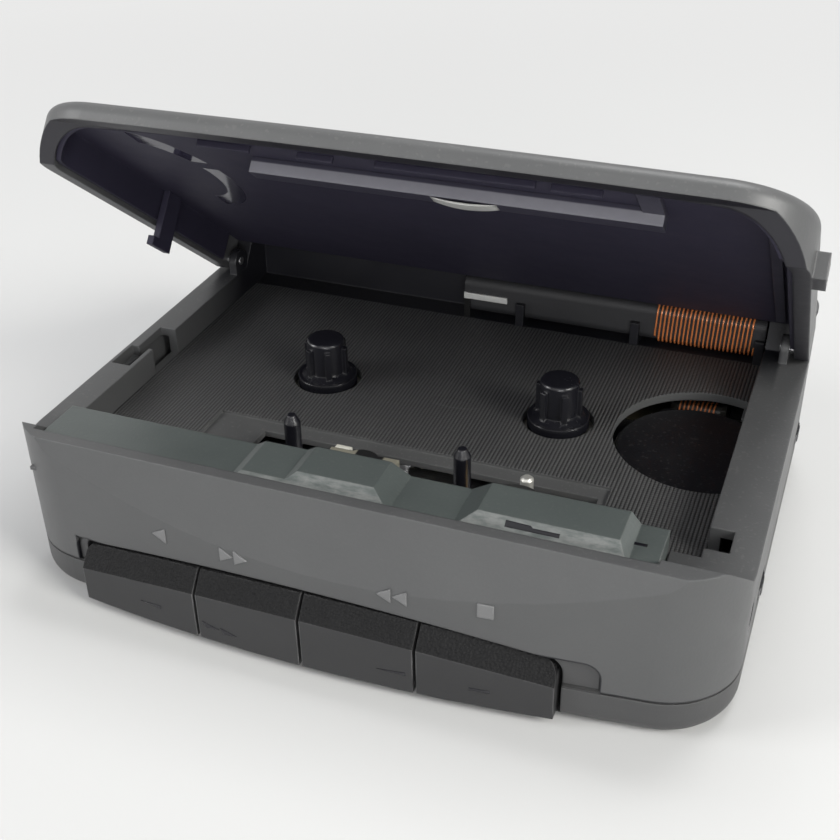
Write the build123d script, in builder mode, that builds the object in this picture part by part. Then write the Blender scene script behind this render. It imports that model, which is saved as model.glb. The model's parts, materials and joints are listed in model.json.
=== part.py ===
"""Portable cassette player with radio, its lid standing open. Millimetres, +Z up.

The origin is the centre of the flat underside. X runs along the front, Y towards the hinge.
The deck frame has its origin midway between the reel spindles, on top of the deck plate.
"""
from build123d import *
import math
import os

os.makedirs("parts", exist_ok=True)

# Casing
casing_width = 114.7
casing_depth = 86.5
deck_height = 18.5
seam_height = 6.8
seam_groove = 0.3
side_rim_z = 4.9
front_rim_z = 9.9
roof_z = 13.5
wall = 1.8
floor_thickness = 1.5
front_bow = 4.1
front_corner = 12.0
rear_corner = 8.0
bottom_round = 3.0
rim_plate = 1.6
roof_plate = 2.0
well_wall = 1.6
ledge_width = 1.2
ledge_height = 0.6

# Clearances
lid_gap = 0.35
seat_gap = 0.3
slide_gap = 0.35
pin_gap = 0.06
screw_gap = 0.1
trim_gap = 0.05
belt_gap = 0.3
overrun = 1.0

# Reels, measured from the middle of the casing
reel_x = -1.35
reel_y = 6.75
reel_spacing = 42.5

# Cassette well and deck, from here on in the deck frame
well_half_width = 51.0
well_front = -34.8
deck_thickness = 1.6
spindle_hole = 6.0
slot_left = -24.2
slot_right = 33.0
slot_rear = -19.0
recess_left = -33.7
recess_right = 34.4
recess_rear = -16.2
recess_depth = 0.5
bay_front = 29.6
leg_radius = 1.9

# Lid and hinge
hinge_y = 24.75
hinge_z = 7.1
lid_angle = 39.0
lid_wall = 2.4
lid_skin = 1.3
lid_front = -46.4
lid_bow = 1.2
lid_edge_round = 2.0
lid_crest = 0.75
liner_thickness = 0.8
liner_edge = 0.85
pin_radius = 0.8
ear_radius = 2.2
ear_thickness = 1.5
ear_x = 53.15
ramp_front = -43.5
ramp_rear = -37.5
post_ramp_top = 3.52
tab_reach = 1.8
tab_front = -57.8
tab_length = 6.0
tab_height = 3.7
nose_radius = 1.85
beam_left = -23.4
beam_right = 34.7
beam_rear = -56.2
beam_width = 3.0
beam_bottom = 1.9
beam_plate = 1.0
beam_cap = 3.0
frame_front = -67.0
spring_left = 4.8
spring_right = 14.6
spring_thickness = 0.3
spring_drop = 0.6
spring_width = 2.4
catch_x = -53.15
catch_thickness = 1.2
catch_front = -31.2
catch_length = 4.5
catch_tip = -5.9
catch_toe = 1.6
pin_reach = 4.4
pin_depth = 1.7
liner_rear = -4.0
rib_front = -58.0
rib_x = 51.0
rib_width = 1.6

# Front facet and head cover
facet_top = -46.5
facet_angle = 17.1
pocket_front = -44.5
pocket_left = -50.0
pocket_right = 46.8
cover_low = 8.4
cover_middle = 9.3
cover_high = 10.2
cover_plate = 1.1
step_run = 1.5
bevel_run = 2.6
land_left = -15.0
head_land_left = -6.5
head_land_right = 5.5
roller_land_left = 21.0
roller_land_right = 41.0

# Buttons
button_left = -41.5
button_right = 35.5
button_splits = (-20.1, -2.7, 15.2)
button_front = -52.5
button_back = -46.6
button_row_radius = 300.0
button_bottom = -16.9
button_travel = 3.0
button_gap = 0.5
button_slope_depth = 2.4
button_slope_drop = 3.2
recess_wall = 1.2
recess_corners = (1.6, 3.0)
bezel_step = 0.5
bezel_left = -43.6
bezel_right = 41.1
bezel_top = -6.9
bezel_corners = (1.2, 2.4)
recess_top = -4.4
recess_arch_radius = 260.0
stem_bottom = -11.2
stem_height = 2.4
stem_width = 6.0
stem_back = -40.4
stem_upright = 1.2

# Chassis, reels and gears
chassis_top = -5.0
chassis_thickness = 1.0
gear_bottom = -4.5
gear_thickness = 1.5
chassis_left = -36.0
chassis_right = 38.0
chassis_front = -41.0
chassis_rear = 11.7
motor_tab_right = 44.0
motor_tab_front = -12.5
motor_tab_rear = 15.2
reel_gear_radius = 9.0
reel_gear_teeth = 36
idler_y = -4.0
idler_radius = 11.6
arm_thickness = 0.8
arm_width = 3.8
idler_teeth = 42
idler_pivot_y = -17.0
tooth_height = 0.7
post_radius = 0.9
spindle_height = 8.0
skirt_top = 1.0
skirt_bevel = 0.7
barrel_radius = 3.0
post_tip = 5.5
fin_count = 6
fin_width = 1.0
fin_reach = 0.6
spindle_cap_radius = 3.9
spindle_skirt_radius = 5.2

# Capstan, pinch roller and head
capstan_x = 24.3
capstan_y = -28.8
capstan_radius = 1.0
capstan_tip = 8.0
flywheel_radius = 12.0
flywheel_bottom = -16.6
flywheel_thickness = 3.0
belt_land_radius = 11.2
bearing_radius = 2.5
bearing_bottom = -12.9
bearing_top = -4.0
flange_radius = 4.0
flange_thickness = 0.8
pin_left_x = -15.6
pin_right_x = 13.0
guide_pin_y = -25.1
guide_pin_radius = 1.35
guide_pin_tip = 8.1
guide_pin_collar = 2.35
roller_radius = 4.0
roller_gap = 1.6
roller_bottom = 1.2
arm_bottom = 0.3
arm_plate = 0.6
roller_top = 8.3
arm_pivot_x = 36.0
arm_pivot_y = -37.0
head_face = -31.0
head_top = 8.6
head_width = 11.0
head_depth = 6.5
head_bottom = 0.2
slide_thickness = 1.0
slide_left = -33.0
slide_half_width = 12.0
slide_front = -40.1
slide_rear = -30.6
slide_strip = 3.6
guide_left = -5.0
guide_width = 2.5
guide_depth = 0.9

# Motor and belt
motor_x = 43.8
motor_y = 1.5
motor_radius = 12.8
motor_top = -1.9
motor_edge = 0.8
shaft_radius = 0.75
shaft_depth = 1.2
motor_bottom = -13.9
pulley_radius = 2.5
pulley_land = 1.7
pulley_top = -14.2
belt_thickness = 0.6
belt_width = 1.0
belt_bottom = -15.6

# Round opening over the motor
opening_x = 45.5
opening_y = 2.0
opening_radius = 15.0

# Aerial: rod, coil and the small tuning coil
coil_left = 31.0
coil_turns = 24
coil_pitch = 0.74
wire_radius = 0.16
rod_height = 7.2
rod_thickness = 3.4
rod_y = 32.1
rod_z = 4.5
rod_left = -6.0
rod_right = 50.6
saddles = (4.5, 26.5, 49.0)
saddle_width = 1.6
saddle_lip = 1.0
clip_right = 2.6
clip_thickness = 0.4
clip_width = 1.2
winding_gap = 0.1
former_end = 1.0
small_coil_left = 38.6
small_coil_turns = 9
small_coil_radius = 1.75
small_coil_y = 19.5

# Controls on the right
wheel_radius = 8.5
wheel_bottom = -10.9
wheel_thickness = 2.0
wheel_x = 50.6
volume_y = -19.5
tuning_y = 25.0
board_top = -7.2
board_thickness = 1.2
radio_left = 3.0
radio_front = 15.5
board_right = 56.2
control_left = 38.5
control_front = -38.0
control_rear = -13.5
board_corner = 6.0
board_posts = ((10.0, 31.5), (30.0, 17.5), (35.0, 32.0), (41.0, -36.0), (54.2, -34.0))
board_post_radius = 1.6
pot_radius = 4.2
pot_top = -4.0
capacitor_top = -3.4
capacitor_half = 3.5
wheel_shaft = 1.5
shaft_top = -5.0
wheel_notches = 36
notch_size = 0.5
jack_y = -33.0
jack_z = -4.55
jack_bore = 1.8
jack_collar = 2.5
jack_half_width = 3.5
jack_length = 10.6
jack_depth = 11.5
switch_x = -20.0
switch_z = -8.0
switch_travel = 3.0
switch_knob_width = 5.0
switch_knob_height = 2.4
switch_knob_reach = 0.8
switch_length = 12.0
switch_height = 5.0
switch_depth = 3.0
switch_root = 1.5

# Battery and its door
cell_radius = 7.1
cell_length = 50.0
cell_left = -51.9
cell_y = 20.9
cell_z = -9.6
cell_nub = 1.0
cell_nub_radius = 2.6
cell_wall = 1.2
cell_stop = -0.8
contact_gap = 0.8
contact_thickness = 0.5
contact_width = 9.0
door_end = -2.9
door_half_width = 7.4
tongue_offset = 5.65
tongue_width = 2.5
tongue_thickness = 0.8
tongue_length = 3.0

# Screws
casing_screws = ((-49.1, -41.5), (51.8, -41.5), (-50.0, 31.9), (-1.5, 32.2))
chassis_screws = ((-33.0, -28.0), (-33.0, 8.5), (35.8, -20.0), (8.0, 9.4))
boss_radius = 3.0
screw_radius = 1.0
screw_head_radius = 2.1
screw_head_height = 1.3
screw_seat_z = -14.0
screw_grip = 7.0

# Notches in the rims: left, right, front, rear
left_notch = (-55.4, -51.8, -15.6, -9.0)
notch_depth = 2.0
catch_notch = (-54.0, -50.9, -9.2, -1.4)
right_notch = (50.9, 54.5, -32.7, -27.5)
right_notch_depth = 4.0

half_width = casing_width / 2
half_depth = casing_depth / 2
deck = Plane(origin=(reel_x, reel_y, deck_height))
right_view = Plane(origin=deck.origin, x_dir=(0, 1, 0), z_dir=(1, 0, 0))
front_view = Plane(origin=deck.origin, x_dir=(1, 0, 0), z_dir=(0, -1, 0))
underside_z = -deck_height
cavity_floor_z = underside_z + floor_thickness
seam_z = seam_height - deck_height
boss_joint_z = seam_z
casing_height = deck_height + roof_z
rim_under_z = side_rim_z - rim_plate
rear_inner_y = half_depth - wall - reel_y
right_outer_x = half_width - reel_x
left_outer_x = -half_width - reel_x
right_inner_x = right_outer_x - wall
chassis_under = chassis_top - chassis_thickness
board_under = board_top - board_thickness
button_middle = (button_left + button_right) / 2
button_ends = (button_left, *button_splits, button_right)
button_middles = [(a + b) / 2 for a, b in zip(button_ends[:-1], button_ends[1:])]
recess_x1 = button_left - slide_gap
recess_x2 = button_right + slide_gap
recess_back = button_back + button_travel + slide_gap
slide_bottom = chassis_top + seat_gap
post_places = (
    (-reel_spacing / 2, 0),
    (reel_spacing / 2, 0),
    (0, idler_pivot_y),
    (arm_pivot_x, arm_pivot_y),
)
tilt = math.radians(lid_angle)
hinge = Plane(
    origin=(0, reel_y + hinge_y, deck_height + hinge_z),
    x_dir=(1, 0, 0),
    z_dir=(0, math.sin(tilt), math.cos(tilt)),
)
hinge_side = Plane(origin=hinge.origin, x_dir=hinge.y_dir, z_dir=(1, 0, 0))
lid_top = roof_z - hinge_z
lid_ceiling = lid_top - lid_skin
liner_ceiling = lid_ceiling - liner_thickness
lid_edge = side_rim_z + lid_gap - hinge_z
lid_lip = front_rim_z + lid_gap - hinge_z
lid_sweep = math.hypot(lid_crest, lid_top)
sweep_radius = lid_sweep + lid_gap
lid_length = hinge_y - lid_front


def casing_plan(inset=0.0):
    """Plan of the casing: straight sides and rear, bowed front, round corners."""
    side = half_width - inset
    rear = half_depth - inset
    front = inset - half_depth
    with BuildSketch() as plan:
        with BuildLine():
            ThreePointArc((-side, front + front_bow), (0, front), (side, front + front_bow))
            Polyline((side, front + front_bow), (side, rear), (-side, rear), (-side, front + front_bow))
        make_face()
        fillet(plan.vertices().group_by(Axis.Y)[-1], rear_corner - inset)
        fillet(plan.vertices().group_by(Axis.Y)[0], front_corner - inset)
    return plan.sketch


def lid_plan(inset=0.0):
    """Plan of the lid, from behind the hinge axis to its bowed front."""
    side = half_width - inset
    front = inset - lid_length
    with BuildSketch() as plan:
        with BuildLine():
            ThreePointArc((-side, front + lid_bow), (0, front), (side, front + lid_bow))
            Polyline((side, front + lid_bow), (side, lid_sweep), (-side, lid_sweep),
                     (-side, front + lid_bow))
        make_face()
        fillet(plan.vertices().group_by(Axis.Y)[0], front_corner - inset)
    return plan.sketch


def arch_face(x1, x2, bottom, top, y, corners=()):
    """Upright face under the arch over the buttons, at a depth, its upper left and right corners rounded."""
    heights = [top - (x - button_middle) ** 2 / (2 * recess_arch_radius) for x in (x1, (x1 + x2) / 2, x2)]
    with BuildSketch(front_view.offset(-y)) as face:
        with BuildLine():
            ThreePointArc((x1, heights[0]), ((x1 + x2) / 2, heights[1]), (x2, heights[2]))
            Polyline((x2, heights[2]), (x2, bottom), (x1, bottom), (x1, heights[0]))
        make_face()
        for end, radius in zip((0, -1), corners):
            if radius:
                fillet(face.vertices().group_by(Axis.X)[end].sort_by(Axis.Y)[-1], radius)
    return face.sketch


def block(x1, x2, y1, y2, z1, z2, mode=Mode.ADD):
    """Straight block between two corners in the deck frame."""
    with BuildSketch(deck.offset(z1)) as plan:
        with Locations(((x1 + x2) / 2, (y1 + y2) / 2)):
            Rectangle(x2 - x1, y2 - y1)
    extrude(plan.sketch, amount=z2 - z1, mode=mode)


def lid_block(x1, x2, y1, y2, z1, z2, mode=Mode.ADD):
    """Straight block between two corners in the lid's own frame."""
    with BuildSketch(hinge.offset(z1)) as plan:
        with Locations(((x1 + x2) / 2, (y1 + y2) / 2)):
            Rectangle(x2 - x1, y2 - y1)
    extrude(plan.sketch, amount=z2 - z1, mode=mode)


def column(x, y, radius, z1, z2, mode=Mode.ADD):
    """Upright round column in the deck frame."""
    with BuildSketch(deck.offset(z1)) as plan:
        with Locations((x, y)):
            Circle(radius)
    extrude(plan.sketch, amount=z2 - z1, mode=mode)


def save(builder, name):
    """Names one finished piece and writes it."""
    builder.part.label = name
    export_step(builder.part, f"parts/{name}.step")


outer_plan = casing_plan()
inner_plan = casing_plan(wall)

# Shapes that more than one piece is cut by
facet = Plane(
    origin=(0, reel_y + facet_top, deck_height + front_rim_z),
    x_dir=(1, 0, 0),
    z_dir=Vector(0, -1, 0).rotate(Axis.X, -facet_angle),
)

with BuildPart() as button_space:
    extrude(
        arch_face(recess_x1, recess_x2, button_bottom - slide_gap, recess_top, recess_back, recess_corners),
        amount=casing_height / 2,
    )

with BuildPart() as button_house:
    extrude(
        arch_face(
            recess_x1 - recess_wall,
            recess_x2 + recess_wall,
            cavity_floor_z,
            recess_top + recess_wall,
            recess_back + recess_wall,
        ),
        amount=casing_height / 2,
    )
    with BuildSketch(Plane.XY):
        add(casing_plan(wall / 2))
    extrude(amount=casing_height, mode=Mode.INTERSECT)

# Bezel that rises from the lower casing at both ends of the buttons
with BuildSketch(front_view) as bezel_outline:
    with Locations(((bezel_left + bezel_right) / 2, (bezel_top + seam_z - wall) / 2)):
        Rectangle(bezel_right - bezel_left, bezel_top - seam_z + wall)
    for end, radius in zip((0, -1), bezel_corners):
        fillet(bezel_outline.vertices().group_by(Axis.X)[end].sort_by(Axis.Z)[-1], radius)

with BuildPart() as bezel_zone:
    with BuildSketch(Plane.XY):
        add(outer_plan)
        add(casing_plan(bezel_step + wall + trim_gap), mode=Mode.SUBTRACT)
    extrude(amount=casing_height)
    extrude(bezel_outline.sketch, amount=casing_depth, mode=Mode.INTERSECT)

with BuildPart() as button_bezel:
    with BuildSketch(Plane.XY):
        add(casing_plan(bezel_step))
        add(casing_plan(bezel_step + wall), mode=Mode.SUBTRACT)
    extrude(amount=casing_height)
    extrude(
        offset(bezel_outline.sketch, amount=-trim_gap, mode=Mode.PRIVATE),
        amount=casing_depth,
        mode=Mode.INTERSECT,
    )
    add(button_space.part, mode=Mode.SUBTRACT)

# Upper casing, from the seam up
roof_front_angle = math.asin(post_ramp_top / sweep_radius)
with BuildSketch(right_view) as casing_side:
    with BuildLine():
        arc_start = (hinge_y + sweep_radius * math.cos(roof_front_angle), hinge_z + post_ramp_top)
        arc_end = (hinge_y + math.sqrt(sweep_radius**2 - lid_top**2), roof_z)
        arc_middle_angle = (roof_front_angle + math.asin(lid_top / sweep_radius)) / 2
        arc_middle = (
            hinge_y + sweep_radius * math.cos(arc_middle_angle),
            hinge_z + sweep_radius * math.sin(arc_middle_angle),
        )
        Polyline(
            (-casing_depth, seam_z),
            (-casing_depth, front_rim_z),
            (ramp_front, front_rim_z),
            (ramp_rear, side_rim_z),
            (hinge_y + ear_radius - seat_gap, side_rim_z),
            arc_start,
        )
        ThreePointArc(arc_start, arc_middle, arc_end)
        Polyline(arc_end, (casing_depth, roof_z), (casing_depth, seam_z), (-casing_depth, seam_z))
    make_face()

with BuildPart() as casing_hollow:
    with BuildSketch(Plane.XY.offset(seam_height)):
        add(inner_plan)
    extrude(amount=rim_under_z - seam_z)
    split(bisect_by=facet.offset(-wall), keep=Keep.BOTTOM)

with BuildPart() as main_casing:
    with BuildSketch(Plane.XY.offset(seam_height)):
        add(outer_plan)
    extrude(amount=casing_height - seam_height)
    extrude(casing_side.sketch, amount=casing_width, both=True, mode=Mode.INTERSECT)
    split(bisect_by=facet, keep=Keep.BOTTOM)
    add(casing_hollow.part, mode=Mode.SUBTRACT)
    # Cassette well, open at the rear so that the aerial shows, and the pocket of the head cover
    block(-well_half_width, well_half_width, well_front, rear_inner_y, -deck_thickness, roof_z - roof_plate,
          mode=Mode.SUBTRACT)
    block(pocket_left, pocket_right, pocket_front, well_front + wall, -deck_thickness, casing_height,
          mode=Mode.SUBTRACT)
    for side in (-1, 1):
        inner = side * well_half_width
        outer = side * (well_half_width + well_wall)
        ledge = side * (well_half_width - ledge_width)
        block(min(inner, outer), max(inner, outer), well_front, rear_inner_y, -deck_thickness, rim_under_z)
        block(min(ledge, outer), max(ledge, outer), well_front, bay_front + ledge_width,
              -deck_thickness - ledge_height, -deck_thickness)
    column(motor_x, motor_y, motor_radius + slide_gap, motor_bottom, -deck_thickness, mode=Mode.SUBTRACT)
    block(well_half_width - ledge_width, well_half_width + well_wall, well_front,
          jack_y + jack_half_width + slide_gap, -deck_thickness - ledge_height, -deck_thickness,
          mode=Mode.SUBTRACT)
    # Floor of the aerial bay with three saddles for the rod
    block(-well_half_width - well_wall, well_half_width + well_wall, bay_front, rear_inner_y,
          -deck_thickness, 0)
    for x in saddles:
        block(x, x + saddle_width, rod_y - rod_thickness / 2 - saddle_lip, rear_inner_y, 0, rod_z)
    with BuildSketch(right_view.offset(rod_left)):
        with Locations((rod_y, rod_z)):
            SlotOverall(rod_height + 2 * trim_gap, rod_thickness + 2 * trim_gap, rotation=90)
        with Locations((rod_y, rod_z + rod_height / 2)):
            Rectangle(rod_thickness + 2 * trim_gap, rod_height)
    extrude(amount=rod_right - rod_left, mode=Mode.SUBTRACT)
    # Ledge under the front wall of the head cover
    block(pocket_left - ledge_width, pocket_right + ledge_width, pocket_front - ledge_width,
          pocket_front + ledge_width, rim_under_z - ledge_height, rim_under_z)
    # House of the buttons, with a slot for each stem
    add(button_house.part)
    with BuildSketch(Plane.XY):
        add(outer_plan)
    extrude(amount=seam_height, mode=Mode.SUBTRACT)
    add(button_space.part, mode=Mode.SUBTRACT)
    add(bezel_zone.part, mode=Mode.SUBTRACT)
    for middle in button_middles:
        block(middle - stem_width / 2 - slide_gap, middle + stem_width / 2 + slide_gap,
              recess_back - wall, recess_back + wall, seam_z, stem_bottom + stem_height + slide_gap,
              mode=Mode.SUBTRACT)
    # Bosses for the casing screws
    for x, y in casing_screws:
        column(x, y, boss_radius, boss_joint_z, -deck_thickness)
    for x, y in casing_screws:
        column(x, y, screw_radius + trim_gap, boss_joint_z, boss_joint_z + screw_grip, mode=Mode.SUBTRACT)
    # Hinge ears on the side rims
    for side in (-1, 1):
        with BuildSketch(Plane.YZ.offset(side * ear_x - ear_thickness / 2)):
            with Locations((reel_y + hinge_y, deck_height + hinge_z)):
                Circle(ear_radius)
                with Locations((0, -ear_radius / 2)):
                    Rectangle(2 * ear_radius, ear_radius)
        extrude(amount=ear_thickness)
    with BuildSketch(Plane.YZ.offset(-ear_x - ear_thickness)):
        with Locations((reel_y + hinge_y, deck_height + hinge_z)):
            Circle(pin_radius + pin_gap)
    extrude(amount=2 * ear_x + 2 * ear_thickness, mode=Mode.SUBTRACT)
    # Notches in the rims: two on the left and one on the right
    block(*left_notch, side_rim_z - notch_depth, roof_z, mode=Mode.SUBTRACT)
    block(*catch_notch, -trim_gap, side_rim_z + overrun, mode=Mode.SUBTRACT)
    block(*right_notch, side_rim_z - right_notch_depth, front_rim_z, mode=Mode.SUBTRACT)
    # Slots for the two wheels, the jack and the band switch
    for y in (volume_y, tuning_y):
        column(wheel_x, y, wheel_radius + slide_gap, wheel_bottom - slide_gap,
               wheel_bottom + wheel_thickness + slide_gap, mode=Mode.SUBTRACT)
    with BuildSketch(right_view.offset(right_inner_x - wall)):
        with Locations((jack_y, jack_z)):
            Circle(jack_collar + trim_gap)
    extrude(amount=3 * wall, mode=Mode.SUBTRACT)
    block(switch_x - switch_knob_width / 2 - switch_travel / 2 - slide_gap,
          switch_x + switch_knob_width / 2 + switch_travel / 2 + slide_gap,
          rear_inner_y - wall, rear_inner_y + 2 * wall,
          switch_z - switch_knob_height / 2 - slide_gap, switch_z + switch_knob_height / 2 + slide_gap,
          mode=Mode.SUBTRACT)
save(main_casing, "main_casing")

# Lower casing, up to the seam
with BuildPart() as lower_block:
    with BuildSketch(Plane.XY):
        add(outer_plan)
    extrude(amount=seam_height)
    fillet(lower_block.faces().sort_by(Axis.Z)[0].edges(), bottom_round)
    with BuildSketch(Plane.XY.offset(seam_height - seam_groove)):
        add(outer_plan)
        add(casing_plan(seam_groove), mode=Mode.SUBTRACT)
    extrude(amount=seam_groove, mode=Mode.SUBTRACT)

door_left = left_outer_x
door_opening = (door_left, door_end + slide_gap, cell_y - door_half_width - slide_gap,
                cell_y + door_half_width + slide_gap)
compartment_front = cell_y - cell_radius - seat_gap
compartment_rear = cell_y + cell_radius + seat_gap

with BuildPart() as bottom_cover:
    add(lower_block.part)
    with BuildSketch(Plane.XY.offset(floor_thickness)):
        add(inner_plan)
    extrude(amount=seam_height, mode=Mode.SUBTRACT)
    add(button_house.part)
    add(lower_block.part, mode=Mode.INTERSECT)
    add(button_space.part, mode=Mode.SUBTRACT)
    add(button_bezel.part)
    # Battery compartment
    for y in (compartment_front - cell_wall, compartment_rear):
        block(cell_left - 2 * cell_wall, cell_left + cell_length + 2 * cell_wall + contact_gap, y,
              y + cell_wall,
              cavity_floor_z, boss_joint_z - slide_gap)
    block(cell_stop, cell_stop + cell_wall, compartment_front, compartment_rear, cavity_floor_z,
          boss_joint_z - slide_gap)
    block(*door_opening, underside_z, seam_z, mode=Mode.SUBTRACT)
    block(cell_left - contact_gap - cell_wall, cell_left - contact_gap, compartment_front - cell_wall,
          compartment_rear + cell_wall, cell_z - cell_radius + 2 * cell_wall, boss_joint_z - slide_gap)
    # Columns under the two boards
    for x, y in board_posts:
        column(x, y, board_post_radius, cavity_floor_z, board_under)
    # Columns for the casing screws, counterbored from below
    for x, y in casing_screws:
        column(x, y, boss_radius, cavity_floor_z, boss_joint_z)
    for x, y in casing_screws:
        column(x, y, screw_radius + screw_gap, underside_z, boss_joint_z, mode=Mode.SUBTRACT)
        column(x, y, screw_head_radius + screw_gap, underside_z, screw_seat_z, mode=Mode.SUBTRACT)
save(bottom_cover, "bottom_cover")

with BuildPart() as battery_door:
    add(lower_block.part)
    with BuildSketch(Plane.XY.offset(floor_thickness)):
        add(inner_plan)
    extrude(amount=seam_height, mode=Mode.SUBTRACT)
    block(door_left, door_end, cell_y - door_half_width, cell_y + door_half_width, underside_z,
          seam_z, mode=Mode.INTERSECT)
    for side in (-1, 1):
        y = cell_y + side * tongue_offset
        block(door_end - tongue_length, cell_stop - slide_gap, y - tongue_width / 2, y + tongue_width / 2,
              cavity_floor_z + slide_gap, cavity_floor_z + slide_gap + tongue_thickness)
        block(door_end - tongue_length, door_end, y - tongue_width / 2, y + tongue_width / 2,
              cavity_floor_z, cavity_floor_z + slide_gap)
save(battery_door, "battery_door")

# Deck plate with legs that take the chassis screws
with BuildPart() as deck_plate:
    block(-well_half_width + trim_gap, well_half_width - trim_gap, well_front + trim_gap,
          bay_front - trim_gap,
          -deck_thickness, 0)
    block(recess_left, recess_right, well_front, recess_rear, -recess_depth, overrun, mode=Mode.SUBTRACT)
    block(slot_left, slot_right, well_front, slot_rear, -deck_thickness, 0, mode=Mode.SUBTRACT)
    for x in (-reel_spacing / 2, reel_spacing / 2):
        column(x, 0, spindle_hole, -deck_thickness, 0, mode=Mode.SUBTRACT)
    column(opening_x, opening_y, opening_radius, -deck_thickness, 0, mode=Mode.SUBTRACT)
    for x, y in chassis_screws:
        column(x, y, leg_radius, chassis_top, -deck_thickness)
        column(x, y, screw_radius + trim_gap, chassis_top, -deck_thickness, mode=Mode.SUBTRACT)
save(deck_plate, "deck_plate")

# Stepped cap over the head: raised lands with sloped sides on a low shelf
cover_left = pocket_left + seat_gap
cover_right = pocket_right - seat_gap
cover_front = pocket_front + seat_gap
with BuildSketch(front_view.offset(-well_front)) as cover_outline:
    with BuildLine():
        Polyline(
            (cover_left, rim_under_z),
            (cover_left, cover_low),
            (land_left - step_run, cover_low),
            (land_left, cover_middle),
            (head_land_left - step_run, cover_middle),
            (head_land_left, cover_high),
            (head_land_right, cover_high),
            (head_land_right + 2 * step_run, cover_low),
            (roller_land_left - 2 * step_run, cover_low),
            (roller_land_left, cover_high),
            (roller_land_right, cover_high),
            (roller_land_right + step_run, cover_low),
            (cover_right, cover_low),
            (cover_right, rim_under_z),
            (cover_left, rim_under_z),
        )
    make_face()
with BuildPart() as head_cover:
    extrude(cover_outline.sketch, amount=well_front - cover_front)
    # Bevel from the lands down to the front rim
    with BuildSketch(right_view.offset(cover_left)):
        with BuildLine():
            Polyline(
                (cover_front, cover_low),
                (cover_front, roof_z),
                (cover_front + bevel_run, roof_z),
                (cover_front + bevel_run, cover_high),
                (cover_front, cover_low),
            )
        make_face()
    extrude(amount=cover_right - cover_left, mode=Mode.SUBTRACT)
    # Hollow, open below and towards the deck
    extrude(
        offset(cover_outline.sketch, amount=-cover_plate, mode=Mode.PRIVATE),
        amount=well_front - cover_front - bevel_run,
        mode=Mode.SUBTRACT,
    )
    block(cover_left + cover_plate, cover_right - cover_plate, cover_front + cover_plate, well_front,
          rim_under_z, rim_under_z + 2 * cover_plate, mode=Mode.SUBTRACT)
save(head_cover, "head_cover")

# Push buttons: arched top, bowed front, sloped upper edge, and a stem into the casing
with BuildSketch(deck.offset(button_bottom)) as button_row:
    with Locations((button_middle, button_front + button_row_radius)):
        Circle(button_row_radius)

button_names = ("play_button", "rewind_button", "fast_forward_button", "stop_button")
for number, name in enumerate(button_names):
    x1 = button_ends[number] + button_gap / 2
    x2 = button_ends[number + 1] - button_gap / 2
    middle = button_middles[number]
    corners = (
        recess_corners[0] * (name == button_names[0]),
        recess_corners[1] * (name == button_names[-1]),
    )
    with BuildPart() as button:
        button_length = button_back - button_front + overrun
        extrude(arch_face(x1, x2, button_bottom, recess_top - button_gap, button_back), amount=button_length)
        extrude(button_row.sketch, amount=recess_top - button_bottom, mode=Mode.INTERSECT)
        front_face = button.faces().sort_by(Axis.Y)[0]
        chamfer(front_face.edges().sort_by(Axis.Z)[-1], button_slope_drop, button_slope_depth,
                reference=front_face)
        extrude(
            arch_face(x1, x2, button_bottom, recess_top - button_gap, button_back, corners),
            amount=button_length,
            mode=Mode.INTERSECT,
        )
        block(middle - stem_width / 2, middle + stem_width / 2, button_back, stem_back, stem_bottom,
              stem_bottom + stem_height)
        if name == "play_button":
            block(middle - stem_width / 2, middle + stem_width / 2, stem_back - stem_upright, stem_back,
                  stem_bottom + stem_height, slide_bottom + slide_thickness)
    save(button, name)

# Chassis under the deck
with BuildPart() as chassis_plate:
    block(chassis_left, chassis_right, chassis_front, chassis_rear, chassis_under, chassis_top)
    block(chassis_right - arm_width, motor_tab_right, motor_tab_front, motor_tab_rear, chassis_under,
          chassis_top)
    column(motor_x, motor_y, motor_radius + slide_gap, chassis_under, chassis_top, mode=Mode.SUBTRACT)
    block(button_middles[0] - stem_width / 2 - seat_gap, button_middles[0] + stem_width / 2 + seat_gap,
          chassis_front, stem_back + button_travel + slide_gap, chassis_under, chassis_top,
          mode=Mode.SUBTRACT)
    column(capstan_x, capstan_y, bearing_radius + trim_gap, chassis_under, chassis_top, mode=Mode.SUBTRACT)
    for x, y in post_places:
        column(x, y, post_radius + trim_gap, chassis_under, chassis_top, mode=Mode.SUBTRACT)
    for x, y in chassis_screws:
        column(x, y, screw_radius + trim_gap, chassis_under, chassis_top, mode=Mode.SUBTRACT)
save(chassis_plate, "chassis_plate")

post_tips = (post_tip, post_tip, -deck_thickness - seat_gap, arm_bottom + arm_plate)
with BuildPart() as pivot_posts:
    for (x, y), tip in zip(post_places, post_tips):
        column(x, y, post_radius, chassis_under, tip)
save(pivot_posts, "pivot_posts")

with BuildPart() as guide_pins:
    for x in (pin_left_x, pin_right_x):
        column(x, guide_pin_y, guide_pin_collar, chassis_top, -deck_thickness)
        column(x, guide_pin_y, guide_pin_radius, -deck_thickness, guide_pin_tip)
    chamfer(guide_pins.faces().group_by(Axis.Z)[-1].edges(), guide_pin_radius, guide_pin_radius / 2)
save(guide_pins, "guide_pins")

with BuildPart() as capstan_bearing:
    column(capstan_x, capstan_y, bearing_radius, bearing_bottom, bearing_top)
    column(capstan_x, capstan_y, flange_radius, chassis_top, chassis_top + flange_thickness)
    column(capstan_x, capstan_y, capstan_radius + pin_gap, bearing_bottom, bearing_top, mode=Mode.SUBTRACT)
save(capstan_bearing, "capstan_bearing")

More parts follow.
